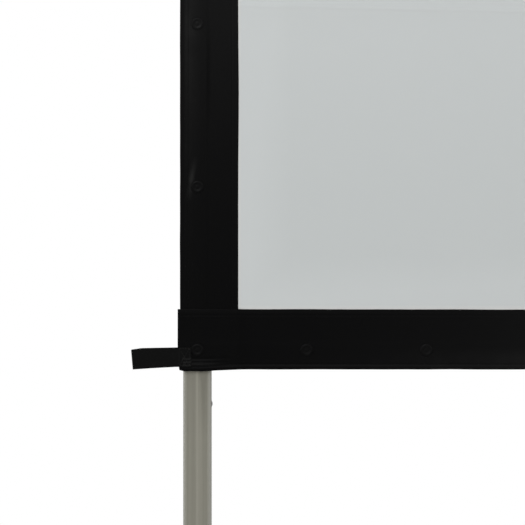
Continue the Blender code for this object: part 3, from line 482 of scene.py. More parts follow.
finishes = {
    "vinyl": makeVinyl(),
    "picture": makePictureFinish(),
    "webbing": makeWebbing(),
    "thread": makeThread("black_thread", (0.0016, 0.0016, 0.0016), (0.0060, 0.0060, 0.0060)),
    "wornThread": makeThread("worn_thread", (0.004, 0.004, 0.004), (0.026, 0.026, 0.0255)),
    "alongX": makeTubeFinish("anodised_tube_across", (4.0, 900.0, 900.0)),
    "alongY": makeTubeFinish("anodised_tube_deep", (900.0, 4.0, 900.0)),
    "alongZ": makeTubeFinish("anodised_tube_upright", (900.0, 900.0, 4.0)),
    "leg": makeTubeFinish("anodised_leg", (900.0, 900.0, 4.0), True),
}
grainy = {
    "cast": ("tumbled_casting", (0.150, 0.149, 0.140), (0.240, 0.238, 0.224),
             0.52, 0.8, 0.5, 1300.0, 0.35, 0.5),
    "zinc": ("zinc_plated_steel", (0.36, 0.36, 0.35), (0.52, 0.52, 0.50),
             0.34, 1.0, 0.5, 900.0, 0.10, 0.4),
    "capMetal": ("black_snap_cap", (0.0008, 0.0008, 0.0009), (0.0018, 0.0018, 0.0019),
                 0.36, 0.0, 0.05, 1500.0, 0.10, 0.0, True),
    "darkSteel": ("darkened_steel", (0.012, 0.012, 0.012), (0.035, 0.034, 0.033),
                  0.4, 0.7, 0.5, 1200.0, 0.15, 0.4),
    "moulded": ("moulded_black_plastic", (0.010, 0.010, 0.010), (0.018, 0.018, 0.018),
                0.42, 0.0, 0.4, 1600.0, 0.25, 0.4),
    "rubber": ("black_rubber", (0.013, 0.013, 0.013), (0.024, 0.023, 0.022),
               0.75, 0.0, 0.3, 1000.0, 0.4, 0.6),
}
finishes.update({key: makeGrainyFinish(*values) for key, values in grainy.items()})
print("finishes made:", len(finishes))


# turns a bmesh into a piece that rides on a body and stands for CAD nodes
def keep(name, shape, body, finish, stands, smooth=35.0, soft=False):
    if shape.calc_volume(signed=True) < 0:  # laying or mirroring turned it inside out
        bmesh.ops.reverse_faces(shape, faces=shape.faces)
    mesh = bpy.data.meshes.new(name)
    shape.to_mesh(mesh)
    shape.free()
    mesh.materials.append(finishes[finish])
    mesh.shade_smooth()
    mesh.set_sharp_from_angle(angle=math.radians(smooth))
    piece = placed(name, mesh)
    if not soft:
        even = piece.modifiers.new("even_normals", "WEIGHTED_NORMAL")
        even.keep_sharp = True
    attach(piece, body)
    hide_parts(*stands)
    return piece


# a left piece and its mirrored right one
def bothSides(name, shape, body, finish, node, smooth=35.0, soft=False):
    other = shape.copy()
    bmesh.ops.scale(other, vec=(-1, 1, 1), verts=other.verts)
    bmesh.ops.reverse_faces(other, faces=other.faces)
    return [keep(f"{name}_{side}", form, f"{body}_{side}", finish, [f"{node}_{side}"], smooth, soft)
            for side, form in (("left", shape), ("right", other))]


# a left and a right piece of the cloth's border
def onBorder(name, shape, finish, smooth=60.0, soft=True):
    return bothSides(name, shape, "screen", finish, "black_border", smooth, soft)


# the matrix that stands a shape on a point, with its Z along an axis
def pointing(place, axis):
    return Matrix.Translation(Vector(place)) @ Vector(axis).to_track_quat("Z", "Y").to_matrix().to_4x4()


def put(shape, place, axis=(0, 0, 1)):
    bmesh.ops.transform(shape, matrix=pointing(place, axis), verts=shape.verts)
    return shape


weldReach = 0.00001
edgeBreak = 0.00025


def weldPoints(shape):
    bmesh.ops.remove_doubles(shape, verts=shape.verts, dist=weldReach)
    bmesh.ops.recalc_face_normals(shape, faces=shape.faces)


def everything(shape):
    return shape.verts[:] + shape.edges[:] + shape.faces[:]


# spins a profile of (radius, height) points about Z
def turned(profile, steps):
    shape = bmesh.new()
    line = [shape.verts.new((radius, 0, height)) for radius, height in profile]
    edges = [shape.edges.new(pair) for pair in zip(line, line[1:])]
    bmesh.ops.spin(shape, geom=line + edges, cent=(0, 0, 0), axis=(0, 0, 1), angle=2 * math.pi, steps=steps,
                   use_merge=True)
    weldPoints(shape)
    return shape


def join(target, *others):
    for other in others:
        mesh = bpy.data.meshes.new("part")
        other.to_mesh(mesh)
        other.free()
        target.from_mesh(mesh)
        bpy.data.meshes.remove(mesh)
    return target


# a square outline with rounded corners, as one face across Z
def section(half, corner, segments):
    shape = bmesh.new()
    bmesh.ops.create_grid(shape, x_segments=1, y_segments=1, size=half)
    bmesh.ops.bevel(shape, geom=shape.verts[:], offset=corner, affect="VERTICES", segments=segments,
                    profile=0.5, material=-1)
    return shape, shape.faces[:][0]


# draws a face on along Z, and scales it about the Z axis
def pull(shape, face, rise, factor=1.0, base=False):
    made = bmesh.ops.extrude_face_region(shape, geom=[face])["geom"]
    if not base:
        bmesh.ops.delete(shape, geom=[face], context="FACES_ONLY")
    top = next(f for f in made if isinstance(f, bmesh.types.BMFace))
    bmesh.ops.translate(shape, vec=(0, 0, rise), verts=top.verts[:])
    bmesh.ops.scale(shape, vec=(factor, factor, 1), verts=top.verts[:])
    return top


# draws a face of a given size on through (height, size) steps
def pullThrough(shape, face, size, steps):
    level = 0.0
    for n, (rise, width) in enumerate(steps):
        face = pull(shape, face, rise - level, width / size, base=n == 0)
        level, size = rise, width
    return face


def bore(shape, faces, walls):
    for face, wall in zip(faces, walls):
        bmesh.ops.inset_region(shape, faces=[face], thickness=wall, use_even_offset=True)
    edges = list({edge for face in faces for edge in face.edges})
    bmesh.ops.delete(shape, geom=faces, context="FACES_ONLY")
    bmesh.ops.bridge_loops(shape, edges=edges)
    bmesh.ops.recalc_face_normals(shape, faces=shape.faces)


def breakEdges(shape, steepest=1.0):
    rims = [e for e in shape.edges if e.is_manifold and e.calc_face_angle() > steepest]
    bmesh.ops.bevel(shape, geom=rims, offset=edgeBreak, affect="EDGES", segments=1, profile=0.5,
                    material=-1)


def squareTube(sizes, length):
    shape, low = section(sizes["half"], sizes["corner"], sizes["segments"])
    high = pull(shape, low, length, base=True)
    bore(shape, [low, high], [sizes["wall"], sizes["wall"]])
    breakEdges(shape)
    return shape


def interpolate(table, place):
    if place <= table[0][0]:
        return table[0][1]
    for (x0, y0), (x1, y1) in zip(table, table[1:]):
        if place <= x1:
            return y0 + (y1 - y0) * (place - x0) / (x1 - x0)
    return table[-1][1]


def ramp(value, low, high):
    share = min(1.0, max(0.0, (value - low) / (high - low)))
    return share * share * (3 - 2 * share)


# the cloth hangs flush at each snap and waves a little between them
def between(along, places):
    places = sorted(places)
    if not places[0] < along < places[-1]:
        return 0.0
    low = max(p for p in places if p <= along)
    high = min(p for p in places if p > along)
    return math.sin(math.pi * (along - low) / (high - low)) ** 2


waves = {"proud": 0.00035, "least": 0.3, "middle": 0.012, "halfWidth": 0.035, "slow": 7, "broad": 22,
         "curl": 0.0012, "edge": 0.00030, "quick": 26, "bulgeZ": 1.0345, "bulge": 0.0006, "bulgeReach": 0.06,
         "seam": 0.0003, "seamPace": 18, "seamSag": 0.0005, "sagFade": (0.045, 0.36)}
pucker = {"height": 0.00045, "inwards": (0.050, 0.0), "outwards": (-0.022, -0.012), "middle": 0.0125,
          "reach": 0.0052, "crest": 0.0155, "pitch": 0.0042}
postPlaces = [railZ, topZ] + [railZ + z for z in postSnaps] + [topZ - z for z in postSnaps]
railPlaces = [postX, 0.0] + railSnaps
cornerDip = [(-0.0227, 0.0004), (-0.0194, 0.0021), (-0.0149, 0.0023), (-0.0126, 0.0019), (-0.0082, 0.0018),
             (0.0030, 0.0020), (0.0120, 0.0018), (0.0165, 0.0012), (0.0254, 0.0009), (0.0389, 0.0004),
             (0.0523, 0.0)]
endShape = [(-0.0213, 0.0020), (-0.0160, 0.0011), (0.0056, 0.0), (0.0200, 0.0004), (0.0302, 0.0007),
            (0.0460, 0.0001)]


def flutter(first, second, seed):
    return noise.noise(Vector((first, second, seed)))


# how far the cloth stands proud, how near its outer edge it is, and how far that edge strays
def wavesAt(strip, across, along, places):
    free = abs(across - waves["middle"]) / waves["halfWidth"]
    rough = flutter(along * waves["slow"], across * waves["broad"], strip["seed"])
    proud = waves["proud"] * between(along, places) * (waves["least"] + free) * rough
    outer = ramp(-across, *strip["outerFade"])
    return proud, outer, waves["edge"] * outer * flutter(along * waves["quick"], 0.0, strip["edgeSeed"])


# each of these takes a place on a strip to its place in the world
def onPostStrip(across, depth, along):
    proud, _, sideways = wavesAt(postStrip, across, along, postPlaces)
    proud -= waves["curl"] * ramp(-across, *postStrip["curl"])
    inner = ramp(across, *postStrip["innerFade"])
    sideways += waves["bulge"] * inner * math.exp(-((along - waves["bulgeZ"]) / waves["bulgeReach"]) ** 2)
    return Vector((postX + across + sideways, clothBack - depth - proud, along))


lapCrease = {"at": 0.0402, "half": 0.0030, "depth": 0.00022, "fade": (-0.010, 0.004),
             "cuts": (-0.0030, -0.0014, 0.0, 0.0014, 0.0030, 0.0060)}


def onRailStrip(across, depth, along):
    proud, outer, upwards = wavesAt(railStrip, across, along, railPlaces)
    inwards = along - postX
    inner = ramp(across, *railStrip["innerFade"])
    seam = waves["seam"] * flutter(along * waves["seamPace"], 0.0, 2.2)
    upwards -= outer * interpolate(cornerDip, inwards)
    upwards += inner * (seam - waves["seamSag"] * ramp(inwards, *waves["sagFade"]))
    gathered = ramp(inwards, *pucker["inwards"]) * ramp(inwards, *pucker["outwards"])
    gathered *= math.exp(-((across + pucker["middle"]) / pucker["reach"]) ** 2)
    crests = math.cos((across + pucker["crest"]) * 2 * math.pi / pucker["pitch"])
    proud += pucker["height"] * gathered * crests
    lap = (inwards - lapCrease["at"]) / lapCrease["half"]
    proud -= lapCrease["depth"] * math.exp(-lap * lap) * ramp(across, *lapCrease["fade"])
    lift = railStrip["lift"] * (1 - ramp(inwards, postStrip["inner"] - 0.004, postStrip["inner"] + 0.012))
    pulled = interpolate(endShape, across) * (1 - ramp(inwards, -railStrip["end"], 0.0))
    return Vector((along + pulled, clothBack - depth - lift - proud, railZ + across + upwards))


def onTopStrip(across, depth, along):
    place = onRailStrip(across, depth, along)
    place.z = 2 * midZ - place.z
    return place


# the strips' sections: the hem is a second layer folded behind the outer edge
postSection = [
    (-0.0195, 0.00065), (-0.01935, 0.00105), (-0.0190, 0.00125), (-0.0170, 0.00135), (-0.0130, 0.00140),
    (-0.0112, 0.00132), (-0.0104, 0.00108), (-0.0098, 0.00108), (-0.0090, 0.00132), (-0.0080, 0.00138),
    (-0.0040, 0.00140), (0.0060, 0.00137), (0.0094, 0.00135), (0.0104, 0.00128), (0.0116, 0.00108),
    (0.0130, 0.00098), (0.0150, 0.0010), (0.0162, 0.0010), (0.0260, 0.0010), (0.0364, 0.0010),
    (0.0375, 0.0010), (0.0383, 0.00080), (0.0389, 0.00080), (0.0397, 0.0010), (0.0406, 0.0010),
    (0.0438, 0.0010), (0.0453, 0.00095), (0.0458, 0.0008), (0.0457, 0.00062), (0.0453, 0.00058),
    (0.0338, 0.00058), (0.0316, 0.0004), (0.0130, 0.0004), (0.0116, 0.00062), (0.0100, 0.00068),
    (0.0, 0.00068), (-0.0050, 0.00068), (-0.0100, 0.00068), (-0.0140, 0.00068), (-0.0180, 0.00068),
    (-0.0180, 0.00062), (-0.0140, 0.00062), (-0.0100, 0.00062), (-0.0050, 0.00062), (0.0, 0.00062),
    (0.0100, 0.00062), (0.0106, 0.0005), (0.0106, 0.0001), (0.0100, 0.0), (0.0, 0.0), (-0.0040, 0.0),
    (-0.0080, 0.0), (-0.0120, 0.0), (-0.0155, 0.0), (-0.0185, 0.0), (-0.0192, 0.0002),
]
railSection = [
    (-0.0218, 0.00060), (-0.02165, 0.00090), (-0.0212, 0.00110), (-0.0206, 0.00122), (-0.0200, 0.00144),
    (-0.0193, 0.00162), (-0.0186, 0.00166), (-0.0179, 0.00158), (-0.0171, 0.00140), (-0.0163, 0.00121),
    (-0.0155, 0.00120), (-0.0148, 0.00138), (-0.0140, 0.00141), (-0.0130, 0.00141), (-0.0118, 0.00141),
    (-0.0107, 0.00140), (-0.0097, 0.00140), (-0.0087, 0.00139), (-0.0077, 0.00138), (-0.0060, 0.00138),
    (0.0030, 0.00135), (0.0066, 0.00128), (0.0092, 0.00112), (0.0130, 0.00102), (0.0250, 0.0010),
    (0.0340, 0.0010), (0.0352, 0.00098), (0.0362, 0.00104), (0.0374, 0.00108), (0.0384, 0.00090),
    (0.0390, 0.00090), (0.0398, 0.00104), (0.0408, 0.0010), (0.0438, 0.0010), (0.0453, 0.00095),
    (0.0458, 0.0008), (0.0457, 0.00062), (0.0453, 0.00058), (0.0341, 0.00058), (0.0320, 0.0004),
    (0.0096, 0.0004), (0.0082, 0.00062), (0.0064, 0.00068), (-0.0202, 0.00068), (-0.0202, 0.00062),
    (0.0064, 0.00062), (0.0070, 0.0005), (0.0070, 0.0001), (0.0064, 0.0), (-0.0207, 0.0), (-0.0214, 0.0002),
]


# draws a closed section along a strip, then lays it in place
def drawStrip(outline, start, end, step, lay, extra=()):
    shape = bmesh.new()
    ring = [shape.verts.new((across, depth, start)) for across, depth in outline]
    first = shape.faces.new(ring)
    last = pull(shape, first, end - start, base=True)
    long = [edge for edge in shape.edges if edge.calc_length() > (end - start) / 2]
    bmesh.ops.subdivide_edges(shape, edges=long, cuts=round((end - start) / step) - 1, use_grid_fill=True)
    for along in extra:
        bmesh.ops.bisect_plane(shape, geom=everything(shape), dist=weldReach, plane_co=(0, 0, along),
                               plane_no=(0, 0, 1))
    bmesh.ops.triangulate(shape, faces=[first, last], quad_method="BEAUTY", ngon_method="EAR_CLIP")
    for vertex in shape.verts:
        vertex.co = lay(*vertex.co)
    bmesh.ops.recalc_face_normals(shape, faces=shape.faces)
    return shape


# a row of stitches, each a small sunk loop of thread
def stitches(start, direction, count, pitch, length, gauge):
    shape = bmesh.new()
    bmesh.ops.create_uvsphere(shape, u_segments=6, v_segments=4, radius=1.0)
    bmesh.ops.scale(shape, vec=(gauge, gauge, length / 2), verts=shape.verts)
    put(shape, start, direction)
    if count > 1:
        bmesh.ops.spin(shape, geom=everything(shape), cent=(0, 0, 0), axis=(0, 0, 1),
                       dvec=Vector(direction) * pitch, angle=0.0, steps=count - 1, use_duplicate=True)
    return shape


thread = {"gauge": 0.00026, "length": 0.0031, "pitch": 0.0040}


def stripStitches(strip, start, end, lay):
    place = (-strip["stitchLine"], strip["stitchDepth"], start + thread["pitch"] / 2)
    count = int((end - start) / thread["pitch"])
    shape = stitches(place, (0, 0, 1), count, thread["pitch"], thread["length"], thread["gauge"])
    for vertex in shape.verts:
        vertex.co = lay(*vertex.co)
    return shape


lapCuts = [postX + lapCrease["at"] + cut for cut in lapCrease["cuts"]]
railRun = (postX - railStrip["end"], 0.0, railStrip["step"])
postRun = (railZ - postStrip["end"], topZ + postStrip["end"], postStrip["step"])
stripShapes = {
    "post_strip": drawStrip(postSection, *postRun, onPostStrip),
    "bottom_strip": drawStrip(railSection, *railRun, onRailStrip, lapCuts),
    "top_strip": drawStrip(railSection, *railRun, onTopStrip, lapCuts),
}
border = {name: onBorder(name, shape, "vinyl", 40.0) for name, shape in stripShapes.items()}

railRow = (postX + railStrip["stitchGap"], -railStrip["stitchEnd"])
postRow = (railZ + postStrip["stitchGap"], topZ - postStrip["stitchGap"])
hemStitches = {
    "post": stripStitches(postStrip, *postRow, onPostStrip),
    "bottom": stripStitches(railStrip, *railRow, onRailStrip),
    "top": stripStitches(railStrip, *railRow, onTopStrip),
}
threads = {name: onBorder(f"{name}_hem_stitches", shape, "thread") for name, shape in hemStitches.items()}
print("border strips drawn")

# the picture surface, welded behind the strips
pictureLeft = postX + postStrip["inner"] - postStrip["tuck"]
pictureLow = railZ + railStrip["inner"] - postStrip["tuck"]
pictureTop = 2 * midZ - pictureLow


def makePicture():
    shape = bmesh.new()
    bmesh.ops.create_grid(shape, x_segments=50, y_segments=56, size=0.5)
    bmesh.ops.scale(shape, vec=(-pictureLeft, pictureTop - pictureLow, 1), verts=shape.verts)
    turn = Matrix.Rotation(math.pi / 2, 4, "X")
    stood = Matrix.Translation((pictureLeft / 2, 0, midZ)) @ turn
    bmesh.ops.transform(shape, matrix=stood, verts=shape.verts)
    crease = picture["crease"]
    creaseX, creaseZ = crease["from"]
    for share in (-1.0, -0.6, -0.3, 0.0, 0.3, 0.6, 1.0):
        bmesh.ops.bisect_plane(shape, geom=everything(shape), dist=0.0001,
                               plane_co=(creaseX, 0, creaseZ + share * crease["half"]),
                               plane_no=(-crease["slope"], 0, 1))
    for vertex in shape.verts:
        x, _, z = vertex.co
        margin = min(x - pictureLeft, z - pictureLow, pictureTop - z)
        slack = ramp(margin, *picture["weldFlat"]) * ramp(z - pictureLow, *picture["lowFlat"])
        slack *= ramp(-x, *picture["middleFlat"])  # flat where it folds
        hollow = picture["hollow"] * slack * (0.4 + flutter(x * picture["pace"], z * picture["pace"], 4.4))
        off = abs(z - creaseZ - crease["slope"] * (x - creaseX)) / crease["half"]
        ridge = crease["height"] * max(0.0, 1 - off) * ramp(margin, *crease["endFade"])
        ridge *= ramp(-x, *crease["acrossFade"])
        vertex.co.y = clothBack - picture["thickness"] - hollow - ridge
    if sum(face.normal.y for face in shape.faces) > 0:
        bmesh.ops.reverse_faces(shape, faces=shape.faces)
    bmesh.ops.solidify(shape, geom=shape.faces[:], thickness=picture["thickness"])
    bmesh.ops.recalc_face_normals(shape, faces=shape.faces)
    return shape


pictures = bothSides("picture_surface", makePicture(), "screen", "picture", "projection_surface", 60.0, True)
print("picture surface stretched")

# snap caps: a dished button inside a raised ring, and its socket behind the cloth
cap = {
    "profile": [
        (0.0, 0.00128), (0.0018, 0.00124), (0.0026, 0.00108), (0.0034, 0.00114), (0.0044, 0.00142),
        (0.0054, 0.00154), (0.0063, 0.00134), (0.0071, 0.00078), (0.00755, 0.00020), (0.00755, -0.0003),
        (0.0, -0.0003),
    ],
    "steps": 24, "seat": 0.00120,
}
socket = {
    "profile": [
        (0.0036, 0.0), (0.0036, 0.0021), (0.0042, 0.0024), (0.0050, 0.0022), (0.0054, 0.0014),
        (0.0062, 0.0006), (0.0062, 0.0), (0.0036, 0.0),
    ],
    "steps": 16,
}


def capsAt(places, lay):
    caps, sockets = bmesh.new(), bmesh.new()
    for along in places:
        seat = lay(0.0, cap["seat"], along)
        join(caps, put(turned(cap["profile"], cap["steps"]), seat, (0, -1, 0)))
        back = lay(0.0, 0.0, along)
        join(sockets, put(turned(socket["profile"], socket["steps"]), back, (0, 1, 0)))
    return caps, sockets


snapShapes = {
    "bottom": capsAt([postX] + railSnaps, onRailStrip),
    "top": capsAt([postX] + railSnaps, onTopStrip),
    "post": capsAt(postPlaces[2:], onPostStrip),
}
capPieces = {place: onBorder(f"{place}_snap_caps", caps, "capMetal", 35.0, False)
             for place, (caps, _) in snapShapes.items()}
socketPieces = {place: onBorder(f"{place}_snap_sockets", sockets, "zinc", 35.0, False)
                for place, (_, sockets) in snapShapes.items()}
print("snaps set")

# pull tabs: webbing folded back on itself, with both ends sewn to the strip's end
tab = {
    "outline": [
        (-0.0068, 0.0028), (-0.0068, 0.0038), (-0.0075, 0.0041), (-0.0215, 0.0041), (-0.0250, 0.0036),
        (-0.0320, 0.0029), (-0.0450, 0.0027), (-0.0620, 0.0029), (-0.0690, 0.0031), (-0.0722, 0.0029),
        (-0.0735, 0.0022), (-0.0739, 0.0013), (-0.0735, 0.0004), (-0.0722, -0.0003), (-0.0690, -0.0005),
        (-0.0620, -0.0003), (-0.0450, -0.0001), (-0.0320, -0.0003), (-0.0250, -0.0009), (-0.0215, -0.0013),
        (-0.0090, -0.0013), (-0.0080, -0.0011), (-0.0080, -0.0002), (-0.0090, -0.0001), (-0.0215, -0.0001),
        (-0.0252, 0.0003), (-0.0320, 0.0009), (-0.0450, 0.0011), (-0.0620, 0.0010), (-0.0690, 0.0008),
        (-0.0712, 0.0009), (-0.0722, 0.0013), (-0.0712, 0.0017), (-0.0690, 0.0019), (-0.0620, 0.0017),
        (-0.0450, 0.0014), (-0.0320, 0.0017), (-0.0252, 0.0024), (-0.0215, 0.0028),
    ],
    "centre": [(-0.0739, -0.01078), (-0.0698, -0.01022), (-0.0660, -0.00955), (-0.0631, -0.00902),
               (-0.0575, -0.00844), (-0.0530, -0.00851), (-0.0463, -0.00856), (-0.0400, -0.00823),
               (-0.0295, -0.00814), (-0.0239, -0.00800)],
    "half": [(-0.0739, 0.0111), (-0.0690, 0.0113), (-0.0640, 0.0111), (-0.0590, 0.0114), (-0.0530, 0.0115),
             (-0.0463, 0.0112), (-0.0300, 0.01085), (-0.0239, 0.0109)],
    "rows": 14, "flat": (0.0230, 0.1350),
    "ripple": 0.00035, "ripplePace": (60, 2), "rippleFade": (0.024, 0.045),
    "slant": (0.00065, 0.00095), "slantFade": (0.045, 0.0739),
}


def onTab(across, depth, share):
    half = interpolate(tab["half"], across)
    pace, wide = tab["ripplePace"]
    even, leaning = tab["slant"]
    ripple = tab["ripple"] * ramp(-across, *tab["rippleFade"]) * flutter(across * pace, share * wide, 6.6)
    slant = (even - leaning * share) * ramp(-across, *tab["slantFade"])
    z = railZ + interpolate(tab["centre"], across) + share * half
    return Vector((postX + across + slant, clothBack - depth - ripple, z))


def makeTab():
    shape = drawStrip(tab["outline"], -1.0, 1.0, 2.0 / tab["rows"], onTab)
    breakEdges(shape, 1.2)
    return shape


tabSewing = {"left": -0.0203, "right": -0.0085, "low": -0.0174, "high": 0.0021, "depth": 0.00418,
             "pitch": 0.0030, "length": 0.0023, "gauge": 0.00024}
barSewing = {"rows": 11, "tiers": 3, "start": -0.0160, "pitch": 0.00085, "stagger": 0.0003, "depth": 0.00422,
             "low": -0.0172, "tier": 0.0036, "astray": 0.0012, "lean": 0.12, "taper": 0.03, "gauge": 0.00032}


# the box of stitches that holds the tab, and the dense bar beside it
def makeTabStitches():
    sewn = tabSewing
    low, high = sewn["low"], sewn["high"]
    corners = [(sewn["left"], low), (sewn["right"], low), (sewn["right"], high), (sewn["left"], high)]
    runs = list(zip(corners, corners[1:] + corners[:1]))
    runs += [(corners[0], corners[2]), (corners[1], corners[3])]
    shape = bmesh.new()
    for (x0, z0), (x1, z1) in runs:
        start = Vector((postX + x0, clothBack - sewn["depth"], railZ + z0))
        way = Vector((x1 - x0, 0, z1 - z0))
        count = max(1, round(way.length / sewn["pitch"]))
        pitch = way.length / count
        start += way / count / 2
        join(shape, stitches(start, way.normalized(), count, pitch, sewn["length"], sewn["gauge"]))
    return shape


def makeTabBar():
    sewn = barSewing
    shape = bmesh.new()
    for n in range(sewn["rows"]):
        for m in range(sewn["tiers"]):
            astray = flutter(n * 1.7, m * 2.3, 9.1)
            x = postX + sewn["start"] + n * sewn["pitch"] + sewn["stagger"] * (m % 2)
            z = railZ + sewn["low"] + m * sewn["tier"] + sewn["astray"] * astray
            lean = Vector((sewn["lean"] + 0.5 * astray, 0, 1)).normalized()
            length = sewn["tier"] * (1 - n * sewn["taper"] + 0.5 * astray)
            join(shape, stitches((x, clothBack - sewn["depth"], z), lean, 1, 0.0, length, sewn["gauge"]))
    return shape


def topCopy(shape):
    other = shape.copy()
    bmesh.ops.scale(other, vec=(1, 1, -1), verts=other.verts)
    bmesh.ops.translate(other, vec=(0, 0, 2 * midZ), verts=other.verts)
    bmesh.ops.reverse_faces(other, faces=other.faces)
    return other


def sagDown(shape):
    for vertex in shape.verts:
        across = vertex.co.x - postX
        vertex.co.z -= 2 * (tab["centre"][-1][1] - interpolate(tab["centre"], across))
    return shape


tabShape, tabStitches, tabBar = makeTab(), makeTabStitches(), makeTabBar()
topShapes = sagDown(topCopy(tabShape)), topCopy(tabStitches), topCopy(tabBar)
tabs = {"bottom": onBorder("bottom_pull_tab", tabShape, "webbing", 40.0),
        "top": onBorder("top_pull_tab", topShapes[0], "webbing", 40.0)}
tabThreads, tabBars = {}, {}
for end, box, bar in (("bottom", tabStitches, tabBar), ("top", *topShapes[1:])):
    tabThreads[end] = onBorder(f"{end}_tab_stitches", box, "wornThread")
    tabBars[end] = onBorder(f"{end}_tab_bar_tack", bar, "wornThread")
print("pull tabs sewn")


# gives each piece of the cloth that comes down with the posts a mesh of its own
def foldsDown(pieces):
    for piece in pieces:
        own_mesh(piece)


for pieces in (border["post_strip"], border["top_strip"], threads["post"], threads["top"], capPieces["top"],
               capPieces["post"], socketPieces["post"], tabs["top"], tabThreads["top"], tabBars["top"]):
    foldsDown(pieces)
# the picture, which folds down onto its lower weld, and the top sockets, which come to rest under the rail's
# studs, get meshes of their own too
foldsDown(pictures)
foldsDown(socketPieces["top"])


# frame tubes and their studs
stud = {
    "profile": [
        (0.0, 0.0027), (0.0022, 0.0027), (0.0030, 0.0023), (0.0032, 0.0018), (0.0026, 0.0013),
        (0.0024, 0.0010), (0.0040, 0.0007), (0.0045, 0.0004), (0.0045, -0.0006), (0.0, -0.0006),
    ],
    "steps": 16,
}


def studsAt(places):
    shape = bmesh.new()
    for x, z in places:
        join(shape, put(turned(stud["profile"], stud["steps"]), (x, -tube["half"], z), (0, -1, 0)))
    return shape


# a tube as long as its node's box along one axis, and in the middle of it
def nodeTube(node, sizes, along, centre):
    low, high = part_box(node)
    place, axis = [*centre], [0, 0, 0]
    place[along] = low[along]
    axis[along] = 1
    return put(squareTube(sizes, high[along] - low[along]), place, axis)


lowerLeg = {"half": 0.013575, "wall": 0.0020, "corner": 0.0010, "segments": 3}
foot = {"half": 0.0127, "wall": 0.0016, "corner": 0.0025, "segments": 5}
footZ = middle("front_foot_left", 2)

for node, finish, along, centre, body in (
    ("bottom_rail", "alongX", 0, (0, 0, railZ), "frame"),
    ("top_rail", "alongX", 0, (0, 0, topZ), "top"),
    ("lower_post", "alongZ", 2, (postX, 0, 0), "post_lower"),
    ("upper_post", "alongZ", 2, (postX, 0, 0), "post_upper"),
    ("upper_leg", "leg", 2, (postX, 0, 0), "frame"),
):
    bothSides(f"{node}_tube", nodeTube(f"{node}_left", tube, along, centre), body, finish, node)

for node, body, places in (
    ("bottom_rail", "frame", [(x, railZ) for x in railSnaps]),
    ("top_rail", "top", [(x, topZ) for x in railSnaps]),
    ("lower_post", "post_lower", [(postX, railZ + z) for z in postSnaps]),
    ("upper_post", "post_upper", [(postX, topZ - z) for z in postSnaps]),
    ("bottom_corner", "frame", [(postX, railZ)]),
    ("top_corner", "top", [(postX, topZ)]),
):
    bothSides(f"{node}_studs", studsAt(places), body, "zinc", node)

legTube = nodeTube("lower_leg_left", lowerLeg, 2, (postX, 0, 0))
bothSides("lower_leg_tube", legTube, "base", "leg", "lower_leg")

# the spring button that clicks into the upper leg's inner face
button = {
    "height": 0.6895, "steps": 20,
    "dome": [
        (0.0, 0.0010), (0.0012, 0.00095), (0.0022, 0.0007), (0.0028, 0.0003), (0.0030, -0.0006),
        (0.0, -0.0006),
    ],
    "rim": [
        (0.0031, 0.00002), (0.0036, 0.00025), (0.0041, 0.00002), (0.0041, -0.0006), (0.0031, -0.0006),
        (0.0031, 0.00002),
    ],
}
for name, profile in (("leg_button", button["dome"]), ("leg_button_rim", button["rim"])):
    shape = put(turned(profile, button["steps"]), (postX + tube["half"], 0, button["height"]), (1, 0, 0))
    bothSides(name, shape, "frame", "darkSteel", "upper_leg")

for end in ("front", "rear"):
    footTube = nodeTube(f"{end}_foot_left", foot, 1, (postX, 0, footZ))
    bothSides(f"{end}_foot_tube", footTube, f"foot_{end}", "alongY", f"{end}_foot")

boot = {"half": 0.0157, "corner": 0.0025, "edge": 0.0022, "ribs": 4, "ribStart": 0.0075, "ribPitch": 0.0056,
        "ribDepth": 0.0008, "lip": 0.0006, "gap": 0.0003, "floor": 0.004}


# a rubber end cap with a rounded nose, ribs and a mouth round the foot tube
def makeBoot(node):
    low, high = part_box(node)
    length = high.y - low.y
    half, edge = boot["half"], boot["edge"]
    groove = half - boot["ribDepth"]
    shape, face = section(half - edge, boot["corner"], 5)
    steps = [(0.0, half - edge)]
    for n in range(1, 5):
        turn = math.pi / 2 * n / 4
        steps.append((edge * (1 - math.cos(turn)), half - edge * (1 - math.sin(turn))))
    for n in range(boot["ribs"]):
        start = boot["ribStart"] + n * boot["ribPitch"]
        steps += [(start, half), (start + 0.0006, groove), (start + 0.0018, groove), (start + 0.0024, half)]
    steps += [(length - 0.0008, half), (length, half - boot["lip"])]
    face = pullThrough(shape, face, half - edge, steps)
    bmesh.ops.inset_region(shape, faces=[face], thickness=half - boot["lip"] - foot["half"] - boot["gap"],
                           use_even_offset=True)
    pull(shape, face, boot["floor"] - length)
    weldPoints(shape)
    front = low.y < 0
    return put(shape, (postX, low.y if front else high.y, half), (0, 1 if front else -1, 0))


for end in ("front", "rear"):
    bootShape = makeBoot(f"{end}_foot_boot_left")
    bothSides(f"{end}_rubber_boot", bootShape, f"foot_{end}", "rubber", f"{end}_foot_boot")
print("tubes and feet made")

casting = {"soften": 0.0006, "steepest": 0.9, "longest": 0.004, "widest": 0.002}


# a CAD casting with its long edges softened
def softened(node):
    shape = bmesh.new()
    shape.from_mesh(frame["nodes"][node].data)
    bmesh.ops.remove_doubles(shape, verts=shape.verts, dist=weldReach)
    bmesh.ops.dissolve_limit(shape, angle_limit=math.radians(1), verts=shape.verts, edges=shape.edges)
    long = []
    for edge in shape.edges:
        length = edge.calc_length()
        if edge.is_manifold and edge.calc_face_angle() > casting["steepest"] and length > casting["longest"]:
            if min(face.calc_area() for face in edge.link_faces) / length > casting["widest"]:
                long.append(edge)
    bmesh.ops.bevel(shape, geom=long, offset=casting["soften"], affect="EDGES", segments=2, profile=0.5,
                    material=-1)
    return shape


